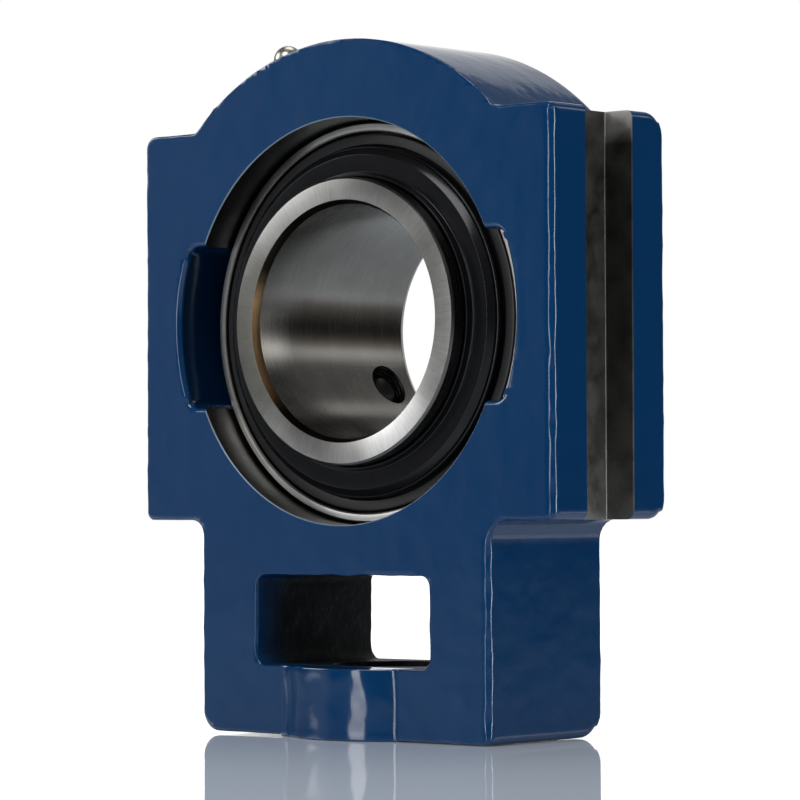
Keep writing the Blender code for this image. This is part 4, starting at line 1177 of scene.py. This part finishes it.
# directions are azimuth and elevation in degrees: azimuth 0 is in front, towards -Y, and 90 to the right
studio = {
    "floor": (0.84, 0.905, 0.965), "floorRoughness": 0.035, "floorGlow": 0.035, "ambient": 0.22, "backdrop": 1.5,
    "lens": 165.74, "azimuth": 40.269, "pitch": 1.570, "roll": -0.225,
    "camera": (522.607 * mm, -616.433 * mm, -38.847 * mm),
    # round patches: azimuth, elevation, angle to which they are full, angle at which they end, strength
    "patches": [(-50, 4, 4, 16, 0.34), (-62, 22, 7, 19, 7.0), (143, 17, 2.5, 8, 2.4), (-177, 41.5, 2.5, 7, 0.6)],
    # the white screen: its middle, its sides by the cosine from there, its top by the height of the direction
    "screenAzimuth": -152, "screenSides": [(0.788, 0.0), (0.927, 1.0)],
    "screenTop": [(0.11, 1.0), (0.19, 0.67), (0.33, 0.43), (0.515, 0.28), (0.545, 0.0)],
    "ceiling": [(0.22, 0.018), (0.55, 0.135)],
    # azimuth, elevation, distance, width, height, power
    "lights": {"keyLight": (5, 48, 1.4, 0.6, 0.6, 8), "frontStrip": (-4, 8, 1.5, 0.38, 0.75, 5.5),
               "sideStrip": (92, 8, 1.5, 0.22, 0.75, 7), "topLight": (-150, 70, 1.5, 0.8, 0.8, 6)},
    "lightsAimAt": (0, 0, 0.075),
}


def makeFloor():
    bm = bmesh.new()
    bmesh.ops.create_grid(bm, x_segments=2, y_segments=2, size=6.0)
    material, tree, shader = newMaterial("white table")
    shader.inputs["Base Color"].default_value = (*studio["floor"], 1)
    shader.inputs["Roughness"].default_value = studio["floorRoughness"]
    shader.inputs["IOR"].default_value = 1.5
    path = tree.nodes.new("ShaderNodeLightPath")
    shader.inputs["Emission Color"].default_value = (*studio["floor"], 1)
    tree.links.new(times(tree, path.outputs["Is Camera Ray"], studio["floorGlow"]),
                   shader.inputs["Emission Strength"])
    floor = meshObject("floor", bm, [material])
    floor.location.z = -0.05 * mm


def direction(azimuth, elevation):
    a, e = math.radians(azimuth), math.radians(elevation)
    return Vector((math.sin(a) * math.cos(e), -math.cos(a) * math.cos(e), math.sin(e)))


def softLight(name, azimuth, elevation, distance, width, height, power):
    away = direction(azimuth, elevation)
    light = bpy.data.lights.new(name, "AREA")
    light.shape = "RECTANGLE"
    light.size, light.size_y = width, height
    light.energy = power
    obj = bpy.data.objects.new(name, light)
    obj.location = Vector(studio["lightsAimAt"]) + away * distance
    obj.rotation_euler = away.to_track_quat("Z", "Y").to_euler()
    bpy.context.scene.collection.objects.link(obj)


def makeWorld():
    # seen directly the room is white; glossy paint and metal see a white screen behind, a grey ceiling
    # and a few soft patches of light
    world = bpy.data.worlds.new("studio")
    bpy.context.scene.world = world
    world.use_nodes = True
    tree = world.node_tree
    background = tree.nodes["Background"]
    coordinates = tree.nodes.new("ShaderNodeTexCoord")
    split = tree.nodes.new("ShaderNodeSeparateXYZ")
    tree.links.new(coordinates.outputs["Generated"], split.inputs["Vector"])
    x, y, z = (split.outputs[axis] for axis in "XYZ")

    def patch(azimuth, elevation, inner, outer, strength):
        product = tree.nodes.new("ShaderNodeVectorMath")
        product.operation = "DOT_PRODUCT"
        tree.links.new(coordinates.outputs["Generated"], product.inputs[0])
        product.inputs[1].default_value = direction(azimuth, elevation)
        limits = [(math.cos(math.radians(outer)), 0.0), (math.cos(math.radians(inner)), 1.0)]
        return times(tree, ramp(tree, product.outputs["Value"], limits), strength)

    middle = direction(studio["screenAzimuth"], 0)
    behind = maths(tree, "ADD", times(tree, x, middle.x), times(tree, y, middle.y))
    level = maths(tree, "SQRT", maths(tree, "SUBTRACT", 1.0, times(tree, z, z)))
    sides = ramp(tree, maths(tree, "DIVIDE", behind, level), studio["screenSides"])
    screen = times(tree, sides, ramp(tree, z, studio["screenTop"]))
    room = maths(tree, "MULTIPLY_ADD", screen, studio["backdrop"], ramp(tree, z, studio["ceiling"]))
    for values in studio["patches"]:
        room = maths(tree, "ADD", room, patch(*values))
    path = tree.nodes.new("ShaderNodeLightPath")
    seen = maths(tree, "ADD", times(tree, path.outputs["Is Glossy Ray"], room),
                 times(tree, path.outputs["Is Diffuse Ray"], studio["ambient"]))
    direct = maths(tree, "MAXIMUM", path.outputs["Is Camera Ray"], path.outputs["Is Transmission Ray"])
    strength = maths(tree, "MAXIMUM", direct, seen)
    tree.links.new(strength, background.inputs["Strength"])
    background.inputs["Color"].default_value = (1, 1, 1, 1)


def makeCamera():
    data = bpy.data.cameras.new("camera")
    data.sensor_width = 36
    data.lens = studio["lens"]
    data.clip_start, data.clip_end = 0.01, 100
    camera = bpy.data.objects.new("camera", data)
    x, y, z = studio["camera"]
    turn = Matrix.Rotation(math.radians(studio["azimuth"]), 4, "Z")
    tilt = Matrix.Rotation(math.radians(90 + studio["pitch"]), 4, "X")
    roll = Matrix.Rotation(math.radians(studio["roll"]), 4, "Z")
    camera.matrix_world = Matrix.Translation((x, y + shaftY, z + shaftZ)) @ turn @ tilt @ roll
    bpy.context.scene.collection.objects.link(camera)
    bpy.context.scene.camera = camera


print("stage: studio")
makeFloor()
makeWorld()
makeCamera()
for lightName, lightValues in studio["lights"].items():
    softLight(lightName, *lightValues)
bpy.context.scene.view_settings.view_transform = "Standard"

bpy.context.view_layer.update()
